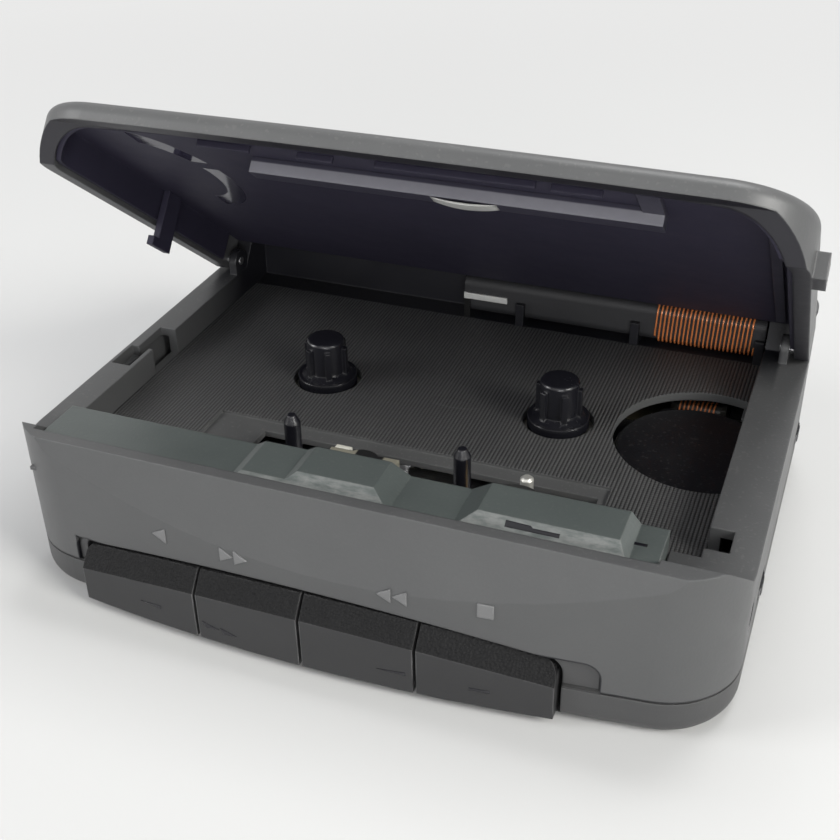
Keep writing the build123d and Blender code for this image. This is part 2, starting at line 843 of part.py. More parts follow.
with BuildPart() as flywheel:
    column(capstan_x, capstan_y, flywheel_radius, flywheel_bottom, flywheel_bottom + flywheel_thickness)
    with BuildSketch(deck.offset(belt_bottom - belt_gap)):
        with Locations((capstan_x, capstan_y)):
            Circle(flywheel_radius + overrun)
            Circle(belt_land_radius, mode=Mode.SUBTRACT)
    extrude(amount=belt_width + 2 * belt_gap, mode=Mode.SUBTRACT)
    column(capstan_x, capstan_y, capstan_radius + trim_gap / 2, flywheel_bottom,
           flywheel_bottom + flywheel_thickness, mode=Mode.SUBTRACT)
save(flywheel, "flywheel")

with BuildPart() as capstan_shaft:
    column(capstan_x, capstan_y, capstan_radius, flywheel_bottom, capstan_tip)
    chamfer(capstan_shaft.faces().sort_by(Axis.Z)[-1].edges(), capstan_radius / 3)
save(capstan_shaft, "capstan_shaft")

with BuildPart() as motor:
    column(motor_x, motor_y, motor_radius, motor_bottom, motor_top)
    fillet(motor.edges().filter_by(GeomType.CIRCLE), motor_edge)
    for angle in (115, 245):
        with BuildSketch(deck.offset(chassis_top)):
            with Locations((motor_x, motor_y)):
                with PolarLocations(motor_radius, 1, start_angle=angle):
                    SlotOverall(2 * arm_width, arm_width)
        extrude(amount=flange_thickness)
    column(motor_x, motor_y, shaft_radius + pin_gap, motor_bottom, motor_bottom + shaft_depth,
           mode=Mode.SUBTRACT)
save(motor, "motor")

with BuildPart() as motor_pulley:
    column(motor_x, motor_y, pulley_radius, flywheel_bottom, pulley_top)
    with BuildSketch(deck.offset(belt_bottom - belt_gap)):
        with Locations((motor_x, motor_y)):
            Circle(pulley_radius + overrun)
            Circle(pulley_land, mode=Mode.SUBTRACT)
    extrude(amount=belt_width + 2 * belt_gap, mode=Mode.SUBTRACT)
    column(motor_x, motor_y, shaft_radius, pulley_top, motor_bottom + shaft_depth - slide_gap)
save(motor_pulley, "motor_pulley")


def belt_plan(grow):
    """Plan of the belt's loop round both grooves."""
    with BuildSketch(deck.offset(belt_bottom)) as plan:
        with Locations((capstan_x, capstan_y)):
            Circle(belt_land_radius + belt_gap + grow)
        with Locations((motor_x, motor_y)):
            Circle(pulley_land + belt_gap + grow)
        make_hull()
    return plan.sketch


with BuildPart() as drive_belt:
    extrude(belt_plan(belt_thickness), amount=belt_width)
    extrude(belt_plan(0), amount=belt_width, mode=Mode.SUBTRACT)
save(drive_belt, "drive_belt")


def gear(x, y, teeth, tip_radius, bore):
    """Toothed wheel lying flat on the chassis."""
    with BuildSketch(deck.offset(gear_bottom)) as plan:
        with Locations((x, y)):
            root = tip_radius - tooth_height
            Circle(root)
            pitch = 2 * math.pi * root / teeth
            with PolarLocations(root, teeth):
                Polygon(
                    (-trim_gap, -pitch / 4),
                    (tooth_height, -pitch / 8),
                    (tooth_height, pitch / 8),
                    (-trim_gap, pitch / 4),
                    align=None,
                )
            Circle(bore, mode=Mode.SUBTRACT)
    extrude(plan.sketch, amount=gear_thickness)


for side, name in ((-1, "supply"), (1, "takeup")):
    reel = side * reel_spacing / 2
    with BuildPart() as reel_gear:
        gear(reel, 0, reel_gear_teeth, reel_gear_radius, barrel_radius + trim_gap)
    save(reel_gear, f"{name}_gear")

    with BuildPart() as spindle:
        column(reel, 0, barrel_radius, gear_bottom, -deck_thickness + seat_gap)
        column(reel, 0, spindle_skirt_radius, -deck_thickness + seat_gap, skirt_top)
        with BuildSketch(deck.offset(skirt_top)):
            with Locations((reel, 0)):
                Circle(spindle_skirt_radius - skirt_bevel)
        with BuildSketch(deck.offset(skirt_top + skirt_bevel)):
            with Locations((reel, 0)):
                Circle(spindle_cap_radius - fin_reach)
        loft()
        column(reel, 0, spindle_cap_radius - fin_reach, skirt_top, spindle_height)
        fillet(spindle.faces().sort_by(Axis.Z)[-1].edges(), skirt_bevel)
        with BuildSketch(deck.offset(skirt_top)):
            with Locations((reel, 0)):
                with PolarLocations(spindle_cap_radius - fin_reach, fin_count):
                    Rectangle(2 * fin_reach, fin_width)
        extrude(amount=spindle_height - skirt_top - 2 * skirt_bevel)
        column(reel, 0, post_radius + pin_gap, gear_bottom, post_tip + seat_gap, mode=Mode.SUBTRACT)
    save(spindle, f"{name}_spindle")

with BuildPart() as idler_gear:
    gear(0, idler_y, idler_teeth, idler_radius, post_radius + pin_gap)
save(idler_gear, "idler_gear")

idler_arm_bottom = gear_bottom + gear_thickness + seat_gap
with BuildPart() as idler_arm:
    with BuildSketch(deck.offset(idler_arm_bottom)):
        with Locations((0, (idler_y + idler_pivot_y) / 2)):
            SlotOverall(idler_y - idler_pivot_y + arm_width, arm_width, rotation=90)
        with Locations((0, idler_pivot_y)):
            Circle(post_radius + pin_gap, mode=Mode.SUBTRACT)
    extrude(amount=arm_thickness)
    column(0, idler_y, post_radius, chassis_top + seat_gap, idler_arm_bottom)
save(idler_arm, "idler_arm")

# Head slide, tape head and its guide
with BuildPart() as head_slide:
    block(-slide_half_width, slide_half_width, slide_front, slide_rear, slide_bottom,
          slide_bottom + slide_thickness)
    block(slide_left, -slide_half_width, slide_front, slide_front + slide_strip, slide_bottom,
          slide_bottom + slide_thickness)
    block(-head_width / 2, head_width / 2, head_face - head_depth, head_face - guide_depth,
          slide_bottom + slide_thickness, head_bottom)
save(head_slide, "head_slide")

with BuildPart() as tape_head:
    block(-head_width / 2, head_width / 2, head_face - head_depth, head_face - guide_depth, head_bottom,
          head_top)
    with BuildSketch(deck.offset(head_bottom)):
        with Locations((0, head_face - head_depth / 2)):
            Ellipse(head_width / 2 - guide_width, head_depth / 2)
    extrude(amount=head_top - head_bottom)
save(tape_head, "tape_head")

with BuildPart() as tape_guide:
    block(guide_left, guide_left + guide_width, head_face - guide_depth + trim_gap, head_face, head_bottom,
          head_top)
save(tape_guide, "tape_guide")

# Pinch roller on its arm
roller_y = capstan_y - capstan_radius - roller_gap - roller_radius
with BuildPart() as pinch_arm:
    arm_length = math.hypot(arm_pivot_x - capstan_x, arm_pivot_y - roller_y)
    arm_turn = math.degrees(math.atan2(roller_y - arm_pivot_y, capstan_x - arm_pivot_x))
    with BuildSketch(deck.offset(arm_bottom)):
        with Locations(Location(((arm_pivot_x + capstan_x) / 2, (arm_pivot_y + roller_y) / 2), arm_turn)):
            SlotOverall(arm_length + arm_width, arm_width)
    extrude(amount=arm_plate)
    column(arm_pivot_x, arm_pivot_y, arm_width / 2, chassis_top + seat_gap, arm_bottom)
    column(arm_pivot_x, arm_pivot_y, post_radius + pin_gap, chassis_top, arm_bottom + arm_plate,
           mode=Mode.SUBTRACT)
    column(capstan_x, roller_y, post_radius, arm_bottom, roller_top + seat_gap)
save(pinch_arm, "pinch_arm")

with BuildPart() as pinch_roller:
    column(capstan_x, roller_y, roller_radius, roller_bottom, roller_top)
    column(capstan_x, roller_y, post_radius + pin_gap, roller_bottom, roller_top, mode=Mode.SUBTRACT)
save(pinch_roller, "pinch_roller")

# Aerial rod, its clip and both windings
with BuildPart() as ferrite_rod:
    with BuildSketch(right_view.offset(rod_left)):
        with Locations((rod_y, rod_z)):
            SlotOverall(rod_height, rod_thickness, rotation=90)
    extrude(amount=rod_right - rod_left)
save(ferrite_rod, "ferrite_rod")

with BuildPart() as rod_clip:
    rod_front = rod_y - rod_thickness / 2
    block(rod_left, clip_right, rod_front - clip_thickness, rod_front, rod_z - clip_width / 2,
          rod_z + clip_width / 2)
    block(rod_left, rod_left + clip_width, rod_front - clip_thickness, rod_front, 0, rod_z - clip_width / 2)
save(rod_clip, "rod_clip")


def half_turn(start, start_way, end, end_way):
    """Half a turn of wire as two arcs that meet smoothly."""
    span = end - start
    ways = start_way + end_way
    along = span.dot(ways)
    spread = 2 * (1 - start_way.dot(end_way))
    reach = (math.sqrt(along**2 + spread * span.dot(span)) - along) / spread
    near = start + start_way * reach
    far = end - end_way * reach
    middle = (near + far) / 2
    TangentArc(start, middle, tangent=start_way)
    TangentArc(middle, end, tangent=(far - near).normalized())


def winding(left, turns, radius, straight, y, z):
    """Wire wound about a line along X: upright stretches joined by half turns."""
    turn_length = 2 * straight + 2 * math.pi * radius
    climb = coil_pitch / turn_length
    up = Vector(climb, 0, 1).normalized()
    down = Vector(climb, 0, -1).normalized()
    centre = deck.origin + Vector(left, y, z)
    lead = 2 * wire_radius
    with BuildLine() as path:
        for turn in range(turns):
            base = centre + Vector(turn * coil_pitch, 0, 0)
            front_low = base + Vector(0, -radius, -straight / 2)
            front_high = base + Vector(climb * straight, -radius, straight / 2)
            rear_high = base + Vector(climb * (straight + math.pi * radius), radius, straight / 2)
            rear_low = base + Vector(climb * (2 * straight + math.pi * radius), radius, -straight / 2)
            next_low = front_low + Vector(coil_pitch, 0, 0)
            if turn == 0:
                begin = front_low - up * lead
                Line(begin, front_high)
            elif straight:
                Line(front_low, front_high)
            half_turn(front_high, up, rear_high, down)
            if straight:
                Line(rear_high, rear_low)
            half_turn(rear_low, down, next_low, up)
        Line(next_low, next_low + up * lead)
    return path.line, begin, up


def least_gap(path, turns):
    """Least distance between the wire's surfaces in neighbouring turns, measured on points."""
    per_turn = 48
    points = [path @ (i / (turns * per_turn)) for i in range(turns * per_turn + 1)]
    return min(
        (points[i] - points[j]).length
        for i in range(len(points))
        for j in range(i + per_turn // 2, min(i + 2 * per_turn, len(points)))
    ) - 2 * wire_radius


coil_radius = rod_thickness / 2 + winding_gap + wire_radius
coil_path, coil_begin, coil_way = winding(
    coil_left, coil_turns, coil_radius, rod_height - rod_thickness, rod_y, rod_z
)
print(f"aerial coil: least gap {least_gap(coil_path, coil_turns):.3f} mm")
with BuildPart() as antenna_coil:
    add(coil_path)
    with BuildSketch(Plane(origin=coil_begin, z_dir=coil_way)):
        Circle(wire_radius)
    sweep(path=coil_path)
save(antenna_coil, "antenna_coil")

small_coil_z = board_top + small_coil_radius + wire_radius + trim_gap
small_path, small_begin, small_way = winding(
    small_coil_left, small_coil_turns, small_coil_radius, 0, small_coil_y, small_coil_z
)
print(f"tuning coil: least gap {least_gap(small_path, small_coil_turns):.3f} mm")
with BuildPart() as tuning_coil:
    with BuildSketch(Plane(origin=small_begin, z_dir=small_way)):
        Circle(wire_radius)
    sweep(path=small_path)
save(tuning_coil, "tuning_coil")

with BuildPart() as coil_former:
    small_coil_right = small_coil_left + small_coil_turns * coil_pitch
    with BuildSketch(right_view.offset(small_coil_left - former_end)):
        with Locations((small_coil_y, small_coil_z)):
            Circle(small_coil_radius - wire_radius - winding_gap)
    extrude(amount=small_coil_right - small_coil_left + 2 * former_end)
    for x in (small_coil_left - former_end - 3 * wire_radius, small_coil_right + 3 * wire_radius):
        block(x, x + former_end, small_coil_y - small_coil_radius, small_coil_y + small_coil_radius,
              board_top,
              small_coil_z + small_coil_radius - wire_radius)
save(coil_former, "coil_former")

# Boards and what they carry
with BuildPart() as radio_board:
    block(radio_left, board_right, radio_front, rear_inner_y - seat_gap, board_under, board_top)
    fillet(radio_board.edges().filter_by(Axis.Z).sort_by(Axis.X)[-2:].sort_by(Axis.Y)[-1], board_corner)
    column(wheel_x, tuning_y, wheel_shaft + slide_gap, board_under, board_top, mode=Mode.SUBTRACT)
save(radio_board, "radio_board")

with BuildPart() as control_board:
    block(control_left, board_right, control_front, control_rear, board_under, board_top)
    column(wheel_x, volume_y, wheel_shaft + slide_gap, board_under, board_top, mode=Mode.SUBTRACT)
save(control_board, "control_board")

with BuildPart() as tuning_capacitor:
    block(wheel_x - capacitor_half, board_right - seat_gap, tuning_y - capacitor_half,
          tuning_y + capacitor_half,
          board_top, capacitor_top)
    column(wheel_x, tuning_y, wheel_shaft + pin_gap, board_top, shaft_top + seat_gap, mode=Mode.SUBTRACT)
save(tuning_capacitor, "tuning_capacitor")

with BuildPart() as volume_control:
    column(wheel_x, volume_y, pot_radius, board_top, pot_top)
    column(wheel_x, volume_y, wheel_shaft + pin_gap, board_top, shaft_top + seat_gap, mode=Mode.SUBTRACT)
save(volume_control, "volume_control")

for name, y in (("volume_wheel", volume_y), ("tuning_wheel", tuning_y)):
    with BuildPart() as wheel:
        with BuildSketch(deck.offset(wheel_bottom)):
            with Locations((wheel_x, y)):
                Circle(wheel_radius)
                with PolarLocations(wheel_radius, wheel_notches):
                    Rectangle(notch_size, notch_size, mode=Mode.SUBTRACT)
        extrude(amount=wheel_thickness)
        column(wheel_x, y, wheel_shaft, wheel_bottom + wheel_thickness, shaft_top)
    save(wheel, name)

with BuildPart() as headphone_jack:
    jack_top = 2 * jack_z - board_top
    block(right_inner_x - seat_gap - jack_length, right_inner_x - seat_gap, jack_y - jack_half_width,
          jack_y + jack_half_width, board_top, jack_top)
    with BuildSketch(right_view.offset(right_inner_x - seat_gap)):
        with Locations((jack_y, jack_z)):
            Circle(jack_collar)
    extrude(amount=wall + seat_gap)
    with BuildSketch(right_view.offset(right_outer_x)):
        with Locations((jack_y, jack_z)):
            Circle(jack_bore)
    extrude(amount=-jack_depth, mode=Mode.SUBTRACT)
save(headphone_jack, "headphone_jack")

with BuildPart() as switch_body:
    block(switch_x - switch_length / 2, switch_x + switch_length / 2, rear_inner_y - switch_depth,
          rear_inner_y,
          switch_z - switch_height / 2, switch_z + switch_height / 2)
    block(switch_x - switch_knob_width / 2 - switch_travel / 2 - slide_gap,
          switch_x + switch_knob_width / 2 + switch_travel / 2 + slide_gap,
          rear_inner_y - switch_root, rear_inner_y,
          switch_z - switch_knob_height / 2 - slide_gap, switch_z + switch_knob_height / 2 + slide_gap,
          mode=Mode.SUBTRACT)
save(switch_body, "switch_body")

with BuildPart() as switch_knob:
    knob_left = switch_x - switch_travel / 2 - switch_knob_width / 2
    block(knob_left, knob_left + switch_knob_width, rear_inner_y - switch_root + slide_gap,
          rear_inner_y + wall + switch_knob_reach, switch_z - switch_knob_height / 2,
          switch_z + switch_knob_height / 2)
save(switch_knob, "switch_knob")

with BuildPart() as battery:
    with BuildSketch(right_view.offset(cell_left)):
        with Locations((cell_y, cell_z)):
            Circle(cell_radius)
    extrude(amount=cell_length - cell_nub)
    with BuildSketch(right_view.offset(cell_left + cell_length - cell_nub)):
        with Locations((cell_y, cell_z)):
            Circle(cell_nub_radius)
    extrude(amount=cell_nub)
save(battery, "battery")

with BuildPart() as battery_contacts:
    for x in (cell_left - contact_gap, cell_stop - contact_thickness):
        block(x, x + contact_thickness, cell_y - contact_width / 2, cell_y + contact_width / 2,
              cell_z - contact_width / 2, cell_z + contact_width / 2)
save(battery_contacts, "battery_contacts")

with BuildPart() as casing_screw_set:
    for x, y in casing_screws:
        column(x, y, screw_head_radius, screw_seat_z - screw_head_height, screw_seat_z)
        column(x, y, screw_radius, screw_seat_z, boss_joint_z + screw_grip - seat_gap)
save(casing_screw_set, "casing_screws")

with BuildPart() as chassis_screw_set:
    for x, y in chassis_screws:
        column(x, y, screw_head_radius, chassis_under - screw_head_height, chassis_under)
        column(x, y, screw_radius, chassis_under, -deck_thickness - seat_gap)
save(chassis_screw_set, "chassis_screws")

# Lid, standing open about the hinge
lid_height = lid_top - lid_edge
with BuildSketch(hinge_side) as lid_side:
    with BuildLine():
        nose_top = math.sqrt(lid_sweep**2 - nose_radius**2)
        crest_angle = (math.atan2(nose_top, nose_radius) + math.atan2(lid_top, lid_crest)) / 2
        ramp_start = ramp_front - hinge_y + trim_gap
        ramp_end = ramp_start + (ramp_rear - ramp_front)
        Polyline((-casing_depth, lid_top), (-casing_depth, lid_lip), (ramp_start, lid_lip),
                 (ramp_end, lid_edge), (0, lid_edge))
        ThreePointArc((0, lid_edge), (nose_radius * math.sqrt(0.5), lid_edge * math.sqrt(0.5)),
                      (nose_radius, 0))
        Line((nose_radius, 0), (nose_radius, nose_top))
        ThreePointArc(
            (nose_radius, nose_top),
            (lid_sweep * math.cos(crest_angle), lid_sweep * math.sin(crest_angle)),
            (lid_crest, lid_top),
        )
        Line((lid_crest, lid_top), (-casing_depth, lid_top))
    make_face()

with BuildPart() as lid_shell:
    with BuildSketch(hinge.offset(lid_edge)):
        add(lid_plan())
    extrude(amount=lid_height)
    fillet(lid_shell.faces().sort_by(Axis(hinge.origin, hinge.z_dir))[-1].edges(), lid_edge_round)
    extrude(lid_side.sketch, amount=casing_width, both=True, mode=Mode.INTERSECT)
    with BuildSketch(hinge.offset(lid_edge)):
        add(lid_plan(lid_wall))
    extrude(amount=lid_ceiling - lid_edge, mode=Mode.SUBTRACT)
    # Finger tab on the right edge
    lid_block(half_width - lid_wall, half_width + tab_reach, tab_front, tab_front + tab_length,
              lid_edge + trim_gap,
              lid_edge + tab_height)
    # Holes for the hinge pins
    with BuildSketch(hinge_side.offset(-half_width + lid_wall - pin_depth)):
        Circle(pin_radius + trim_gap / 2)
    extrude(amount=casing_width - 2 * lid_wall + 2 * pin_depth, mode=Mode.SUBTRACT)
save(lid_shell, "lid_shell")

with BuildSketch(hinge_side) as liner_side:
    with BuildLine():
        Polyline(
            (-casing_depth, lid_ceiling),
            (-casing_depth, lid_lip + liner_edge),
            (ramp_start, lid_lip + liner_edge),
            (ramp_end, lid_edge + liner_edge),
            (liner_rear, lid_edge + liner_edge),
            (liner_rear, liner_ceiling),
            (nose_radius - seat_gap, liner_ceiling),
            (nose_radius - seat_gap, lid_ceiling),
            (-casing_depth, lid_ceiling),
        )
    make_face()

with BuildPart() as lid_liner:
    with BuildSketch(hinge.offset(lid_edge)):
        add(lid_plan(lid_wall + trim_gap))
    extrude(amount=lid_ceiling - lid_edge)
    extrude(liner_side.sketch, amount=casing_width, both=True, mode=Mode.INTERSECT)
    with BuildSketch(hinge.offset(lid_edge)):
        add(lid_plan(lid_wall + trim_gap + liner_thickness))
    extrude(amount=liner_ceiling - lid_edge, mode=Mode.SUBTRACT)
save(lid_liner, "lid_liner")

with BuildPart() as cassette_guide:
    lid_block(beam_left, beam_right, beam_rear - beam_width, beam_rear, beam_bottom, liner_ceiling)
    lid_block(beam_left + beam_plate, beam_right - beam_plate, beam_rear - beam_width + beam_plate,
              beam_rear - beam_plate, beam_bottom + beam_plate, liner_ceiling, mode=Mode.SUBTRACT)
    lid_block(beam_right, beam_right + beam_cap, beam_rear - beam_width, beam_rear, beam_bottom,
              liner_ceiling)
    lid_block(beam_right, beam_right + beam_cap, frame_front, beam_rear - beam_width,
              cover_high + lid_gap - hinge_z, liner_ceiling)
    lid_block(rib_x, rib_x + rib_width, rib_front, liner_rear, liner_ceiling - beam_plate, liner_ceiling)
save(cassette_guide, "cassette_guide")

with BuildPart() as leaf_spring:
    spring_y = beam_rear - beam_width / 2
    with BuildSketch(Plane(origin=hinge.origin + hinge.y_dir * spring_y, x_dir=(1, 0, 0),
                           z_dir=-hinge.y_dir)):
        with BuildLine():
            spring_middle = (spring_left + spring_right) / 2
            ThreePointArc((spring_left, beam_bottom), (spring_middle, beam_bottom - spring_drop),
                          (spring_right, beam_bottom))
            ThreePointArc((spring_right, beam_bottom),
                          (spring_middle, beam_bottom - spring_drop + spring_thickness),
                          (spring_left, beam_bottom))
        make_face()
    extrude(amount=spring_width / 2, both=True)
save(leaf_spring, "leaf_spring")

with BuildPart() as lid_catch:
    lid_block(catch_x - catch_thickness / 2, catch_x + catch_thickness / 2, catch_front,
              catch_front + catch_length,
              catch_tip + catch_toe, liner_ceiling)
    lid_block(catch_x - catch_thickness / 2, catch_x + catch_thickness / 2, catch_front - catch_toe,
              catch_front + catch_length, catch_tip, catch_tip + catch_toe)
save(lid_catch, "lid_catch")

with BuildPart() as hinge_pins:
    for side in (-1, 1):
        inner = side * (half_width - lid_wall + pin_depth - pin_reach)
        outer = side * (half_width - lid_wall + pin_depth - trim_gap)
        with BuildSketch(hinge_side.offset(min(inner, outer))):
            Circle(pin_radius)
        extrude(amount=abs(outer - inner))
save(hinge_pins, "hinge_pins")
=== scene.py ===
"""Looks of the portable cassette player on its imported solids. Metres, +Z up."""

import json
import math

import bmesh
import bpy
from mathutils import Matrix, Vector


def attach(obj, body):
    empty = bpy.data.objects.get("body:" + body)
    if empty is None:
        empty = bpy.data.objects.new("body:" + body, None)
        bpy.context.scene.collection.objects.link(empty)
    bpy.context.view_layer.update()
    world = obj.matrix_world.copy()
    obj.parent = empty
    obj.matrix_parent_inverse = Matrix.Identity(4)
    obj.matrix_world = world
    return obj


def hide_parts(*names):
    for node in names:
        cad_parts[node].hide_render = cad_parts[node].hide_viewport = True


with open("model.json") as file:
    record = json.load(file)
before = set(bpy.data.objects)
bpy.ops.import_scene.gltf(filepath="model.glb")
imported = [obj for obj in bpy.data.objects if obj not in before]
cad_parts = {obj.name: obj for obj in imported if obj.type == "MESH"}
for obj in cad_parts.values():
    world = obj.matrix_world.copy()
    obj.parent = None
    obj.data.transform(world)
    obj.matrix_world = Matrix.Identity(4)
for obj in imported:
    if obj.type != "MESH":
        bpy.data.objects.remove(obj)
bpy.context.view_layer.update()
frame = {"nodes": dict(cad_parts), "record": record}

MM = 0.001

# Frames and places of the solids that the looks follow, in millimetres
DECK = Vector((-1.35, 6.75, 18.5))
HINGE = Vector((0.0, 31.5, 25.6))
LID_TILT = math.radians(-39.0)
SEAM_Z = -11.75
BEZEL_MIDDLE_X = -1.25
BEZEL_HALF_WIDTH = 42.35
BEZEL_TOP_Z = -6.9
BEZEL_CORNER = 2.4
CASING_MIDDLE_X = 1.35
WALL_FRONT_Y = -50.0
WALL_BOW = 806.4
BUTTONS_MIDDLE_X = -3.0
BUTTONS_FRONT_Y = -52.5
BUTTONS_BOW = 600.0
COVER_FRONT_Y = -44.2
COVER_LOW_Z = 8.4
COVER_SLOPE = math.atan2(1.8, 2.6)


def deck(x, y, z):
    """Millimetres in the deck frame to metres in the row frame."""
    return (Vector((x, y, z)) + DECK) * MM


def lid(x, y, z):
    """Millimetres in the lid's own frame to metres in the row frame."""
    return (HINGE + Matrix.Rotation(LID_TILT, 3, "X") @ Vector((x, y, z))) * MM


class Tree:
    """Short way to add linked nodes to the tree of a material, a group or the world."""

    def __init__(self, tree):
        self.tree = tree

    def add(self, kind, inputs=None, **settings):
        new = self.tree.nodes.new(kind)
        for key, value in settings.items():
            setattr(new, key, value)
        for key, value in (inputs or {}).items():
            if isinstance(value, bpy.types.NodeSocket):
                self.tree.links.new(value, new.inputs[key])
            else:
                new.inputs[key].default_value = value
        return new

    def maths(self, operation, first, second=0.5, clamp=False):
        inputs = {0: first, 1: second}
        return self.add("ShaderNodeMath", inputs, operation=operation, use_clamp=clamp).outputs[0]

    def times(self, first, second, clamp=False):
        return self.maths("MULTIPLY", first, second, clamp)

    def plus(self, first, second, clamp=False):
        return self.maths("ADD", first, second, clamp)

    def off(self, value, middle):
        """Distance of a value from a middle one."""
        return self.maths("ABSOLUTE", self.maths("SUBTRACT", value, middle))

    def split(self, vector):
        """Three sockets of a vector."""
        return self.add("ShaderNodeSeparateXYZ", {0: vector}).outputs

    def mix(self, factor, first, second, blend="MIX"):
        new = self.tree.nodes.new("ShaderNodeMix")
        new.data_type = "RGBA"
        new.blend_type = blend
        for socket, value in ((new.inputs[0], factor), (new.inputs[6], first), (new.inputs[7], second)):
            if isinstance(value, bpy.types.NodeSocket):
                self.tree.links.new(value, socket)
            else:
                socket.default_value = value
        return new.outputs[2]

    def noise(self, place, scale, detail=2.0, rough=0.5):
        inputs = {"Vector": place, "Scale": scale, "Detail": detail, "Roughness": rough}
        return self.add("ShaderNodeTexNoise", inputs).outputs["Fac"]

    def ramp(self, value, low, high, start=0.0, end=1.0):
        """Steady change from a start at the low value to an end at the high one, and no further."""
        return self.add("ShaderNodeMapRange", {0: value, 1: low, 2: high, 3: start, 4: end}).outputs[0]

    def vectors(self, operation, first, second=(0.0, 0.0, 0.0)):
        inputs = {0: first, 1: second}
        return self.add("ShaderNodeVectorMath", inputs, operation=operation).outputs

    def surface(self, kind):
        """One output of the texture coordinates, such as Object or Normal."""
        return self.add("ShaderNodeTexCoord").outputs[kind]


def surface_group():
    """Colour variation, fine grain, edges rubbed lighter and dust that every material shares; on the buttons
    the lighter edges also paint a highlight.
    """
    group = bpy.data.node_groups.new("worn_surface", "ShaderNodeTree")
    face = group.interface
    for name, kind, value in (
        ("Base", "NodeSocketColor", (0.2, 0.2, 0.2, 1)),
        ("Worn And Highlight", "NodeSocketColor", (0.4, 0.4, 0.4, 1)),
        ("Mottle", "NodeSocketFloat", 0.15),
        ("Grain Scale", "NodeSocketFloat", 3000.0),
        ("Grain Height", "NodeSocketFloat", 0.3),
        ("Rough", "NodeSocketFloat", 0.5),
        ("Rough Spread", "NodeSocketFloat", 0.2),
        ("Edge Wear And Highlight", "NodeSocketFloat", 0.5),
        ("Dust", "NodeSocketFloat", 0.2),
        ("Relief", "NodeSocketFloat", 0.0),
    ):
        face.new_socket(name, in_out="INPUT", socket_type=kind).default_value = value
    for name, kind in (
        ("Colour", "NodeSocketColor"),
        ("Roughness", "NodeSocketFloat"),
        ("Normal", "NodeSocketVector"),
    ):
        face.new_socket(name, in_out="OUTPUT", socket_type=kind)
    t = Tree(group)
    given = t.add("NodeGroupInput").outputs
    place = t.surface("Object")
    facing = t.add("ShaderNodeNewGeometry").outputs["Normal"]
    rounded = t.add("ShaderNodeBevel", {"Radius": 0.00035}, samples=4).outputs[0]
    broad = t.noise(place, 55.0, 5.0, 0.6)
    smudge = t.noise(place, 160.0, 4.0, 0.65)
    grain = t.noise(place, given["Grain Scale"], 2.0, 0.6)
    speck = t.noise(place, 1900.0, 0.0)
    # Broad and fine variation of the colour
    shade = t.times(t.ramp(broad, 0.3, 0.7), given["Mottle"])
    darker = t.mix(shade, given["Base"], t.mix(1.0, given["Base"], (0.62, 0.62, 0.64, 1), "MULTIPLY"))
    fine = t.times(t.ramp(grain, 0.35, 0.65), t.times(given["Mottle"], 0.6))
    coloured = t.mix(fine, darker, t.mix(1.0, darker, (1.22, 1.22, 1.2, 1), "MULTIPLY"))
    # Wear where the surface turns a corner, which on the buttons also paints a highlight along the edges
    turn = t.vectors("DOT_PRODUCT", rounded, facing)["Value"]
    patchy = t.times(t.ramp(turn, 0.985, 0.86), t.ramp(smudge, 0.36, 0.62))
    worn_and_highlight = t.mix(t.times(patchy, given["Edge Wear And Highlight"], clamp=True), coloured, given["Worn And Highlight"])
    # Dust that settles on what faces up
    up = t.split(facing)["Z"]
    settled = t.times(t.ramp(up, 0.2, 0.95), t.ramp(speck, 0.7, 0.76))
    film = t.times(t.ramp(up, 0.3, 1.0), t.ramp(smudge, 0.4, 0.75, 0.0, 0.25))
    dust = t.times(t.plus(settled, film), given["Dust"], clamp=True)
    dusty = t.mix(dust, worn_and_highlight, (0.42, 0.41, 0.39, 1))
    # Roughness from smudges and dust
    uneven = t.times(t.maths("SUBTRACT", smudge, 0.5), given["Rough Spread"])
    rough = t.plus(t.plus(given["Rough"], uneven), t.times(dust, 0.4), clamp=True)
    # Grain and relief as bump
    grainy = t.add("ShaderNodeBump", {
        "Strength": given["Grain Height"], "Distance": 0.00004, "Height": grain, "Normal": rounded,
    }).outputs[0]
    relief = t.add("ShaderNodeBump", {
        "Strength": 1.0, "Distance": 0.00012, "Height": given["Relief"], "Normal": grainy,
    }).outputs[0]
    t.add("NodeGroupOutput", {"Colour": dusty, "Roughness": rough, "Normal": relief})
    return group


def scratch_group():
    """Fine straight scratches and brushing along one direction."""
    group = bpy.data.node_groups.new("fine_scratches", "ShaderNodeTree")
    face = group.interface
    stretch = face.new_socket("Stretch", in_out="INPUT", socket_type="NodeSocketVector")
    stretch.default_value = (60.0, 4000.0, 4000.0)
    face.new_socket("Amount", in_out="INPUT", socket_type="NodeSocketFloat").default_value = 0.5
    face.new_socket("Mask", in_out="OUTPUT", socket_type="NodeSocketFloat")
    t = Tree(group)
    given = t.add("NodeGroupInput").outputs
    lines = t.noise(t.vectors("MULTIPLY", t.surface("Object"), given["Stretch"])[0], 1.0, 3.0, 0.55)
    t.add("NodeGroupOutput", {"Mask": t.times(t.ramp(lines, 0.42, 0.7), given["Amount"])})
    return group


WORN_SURFACE = surface_group()
SCRATCHES = scratch_group()


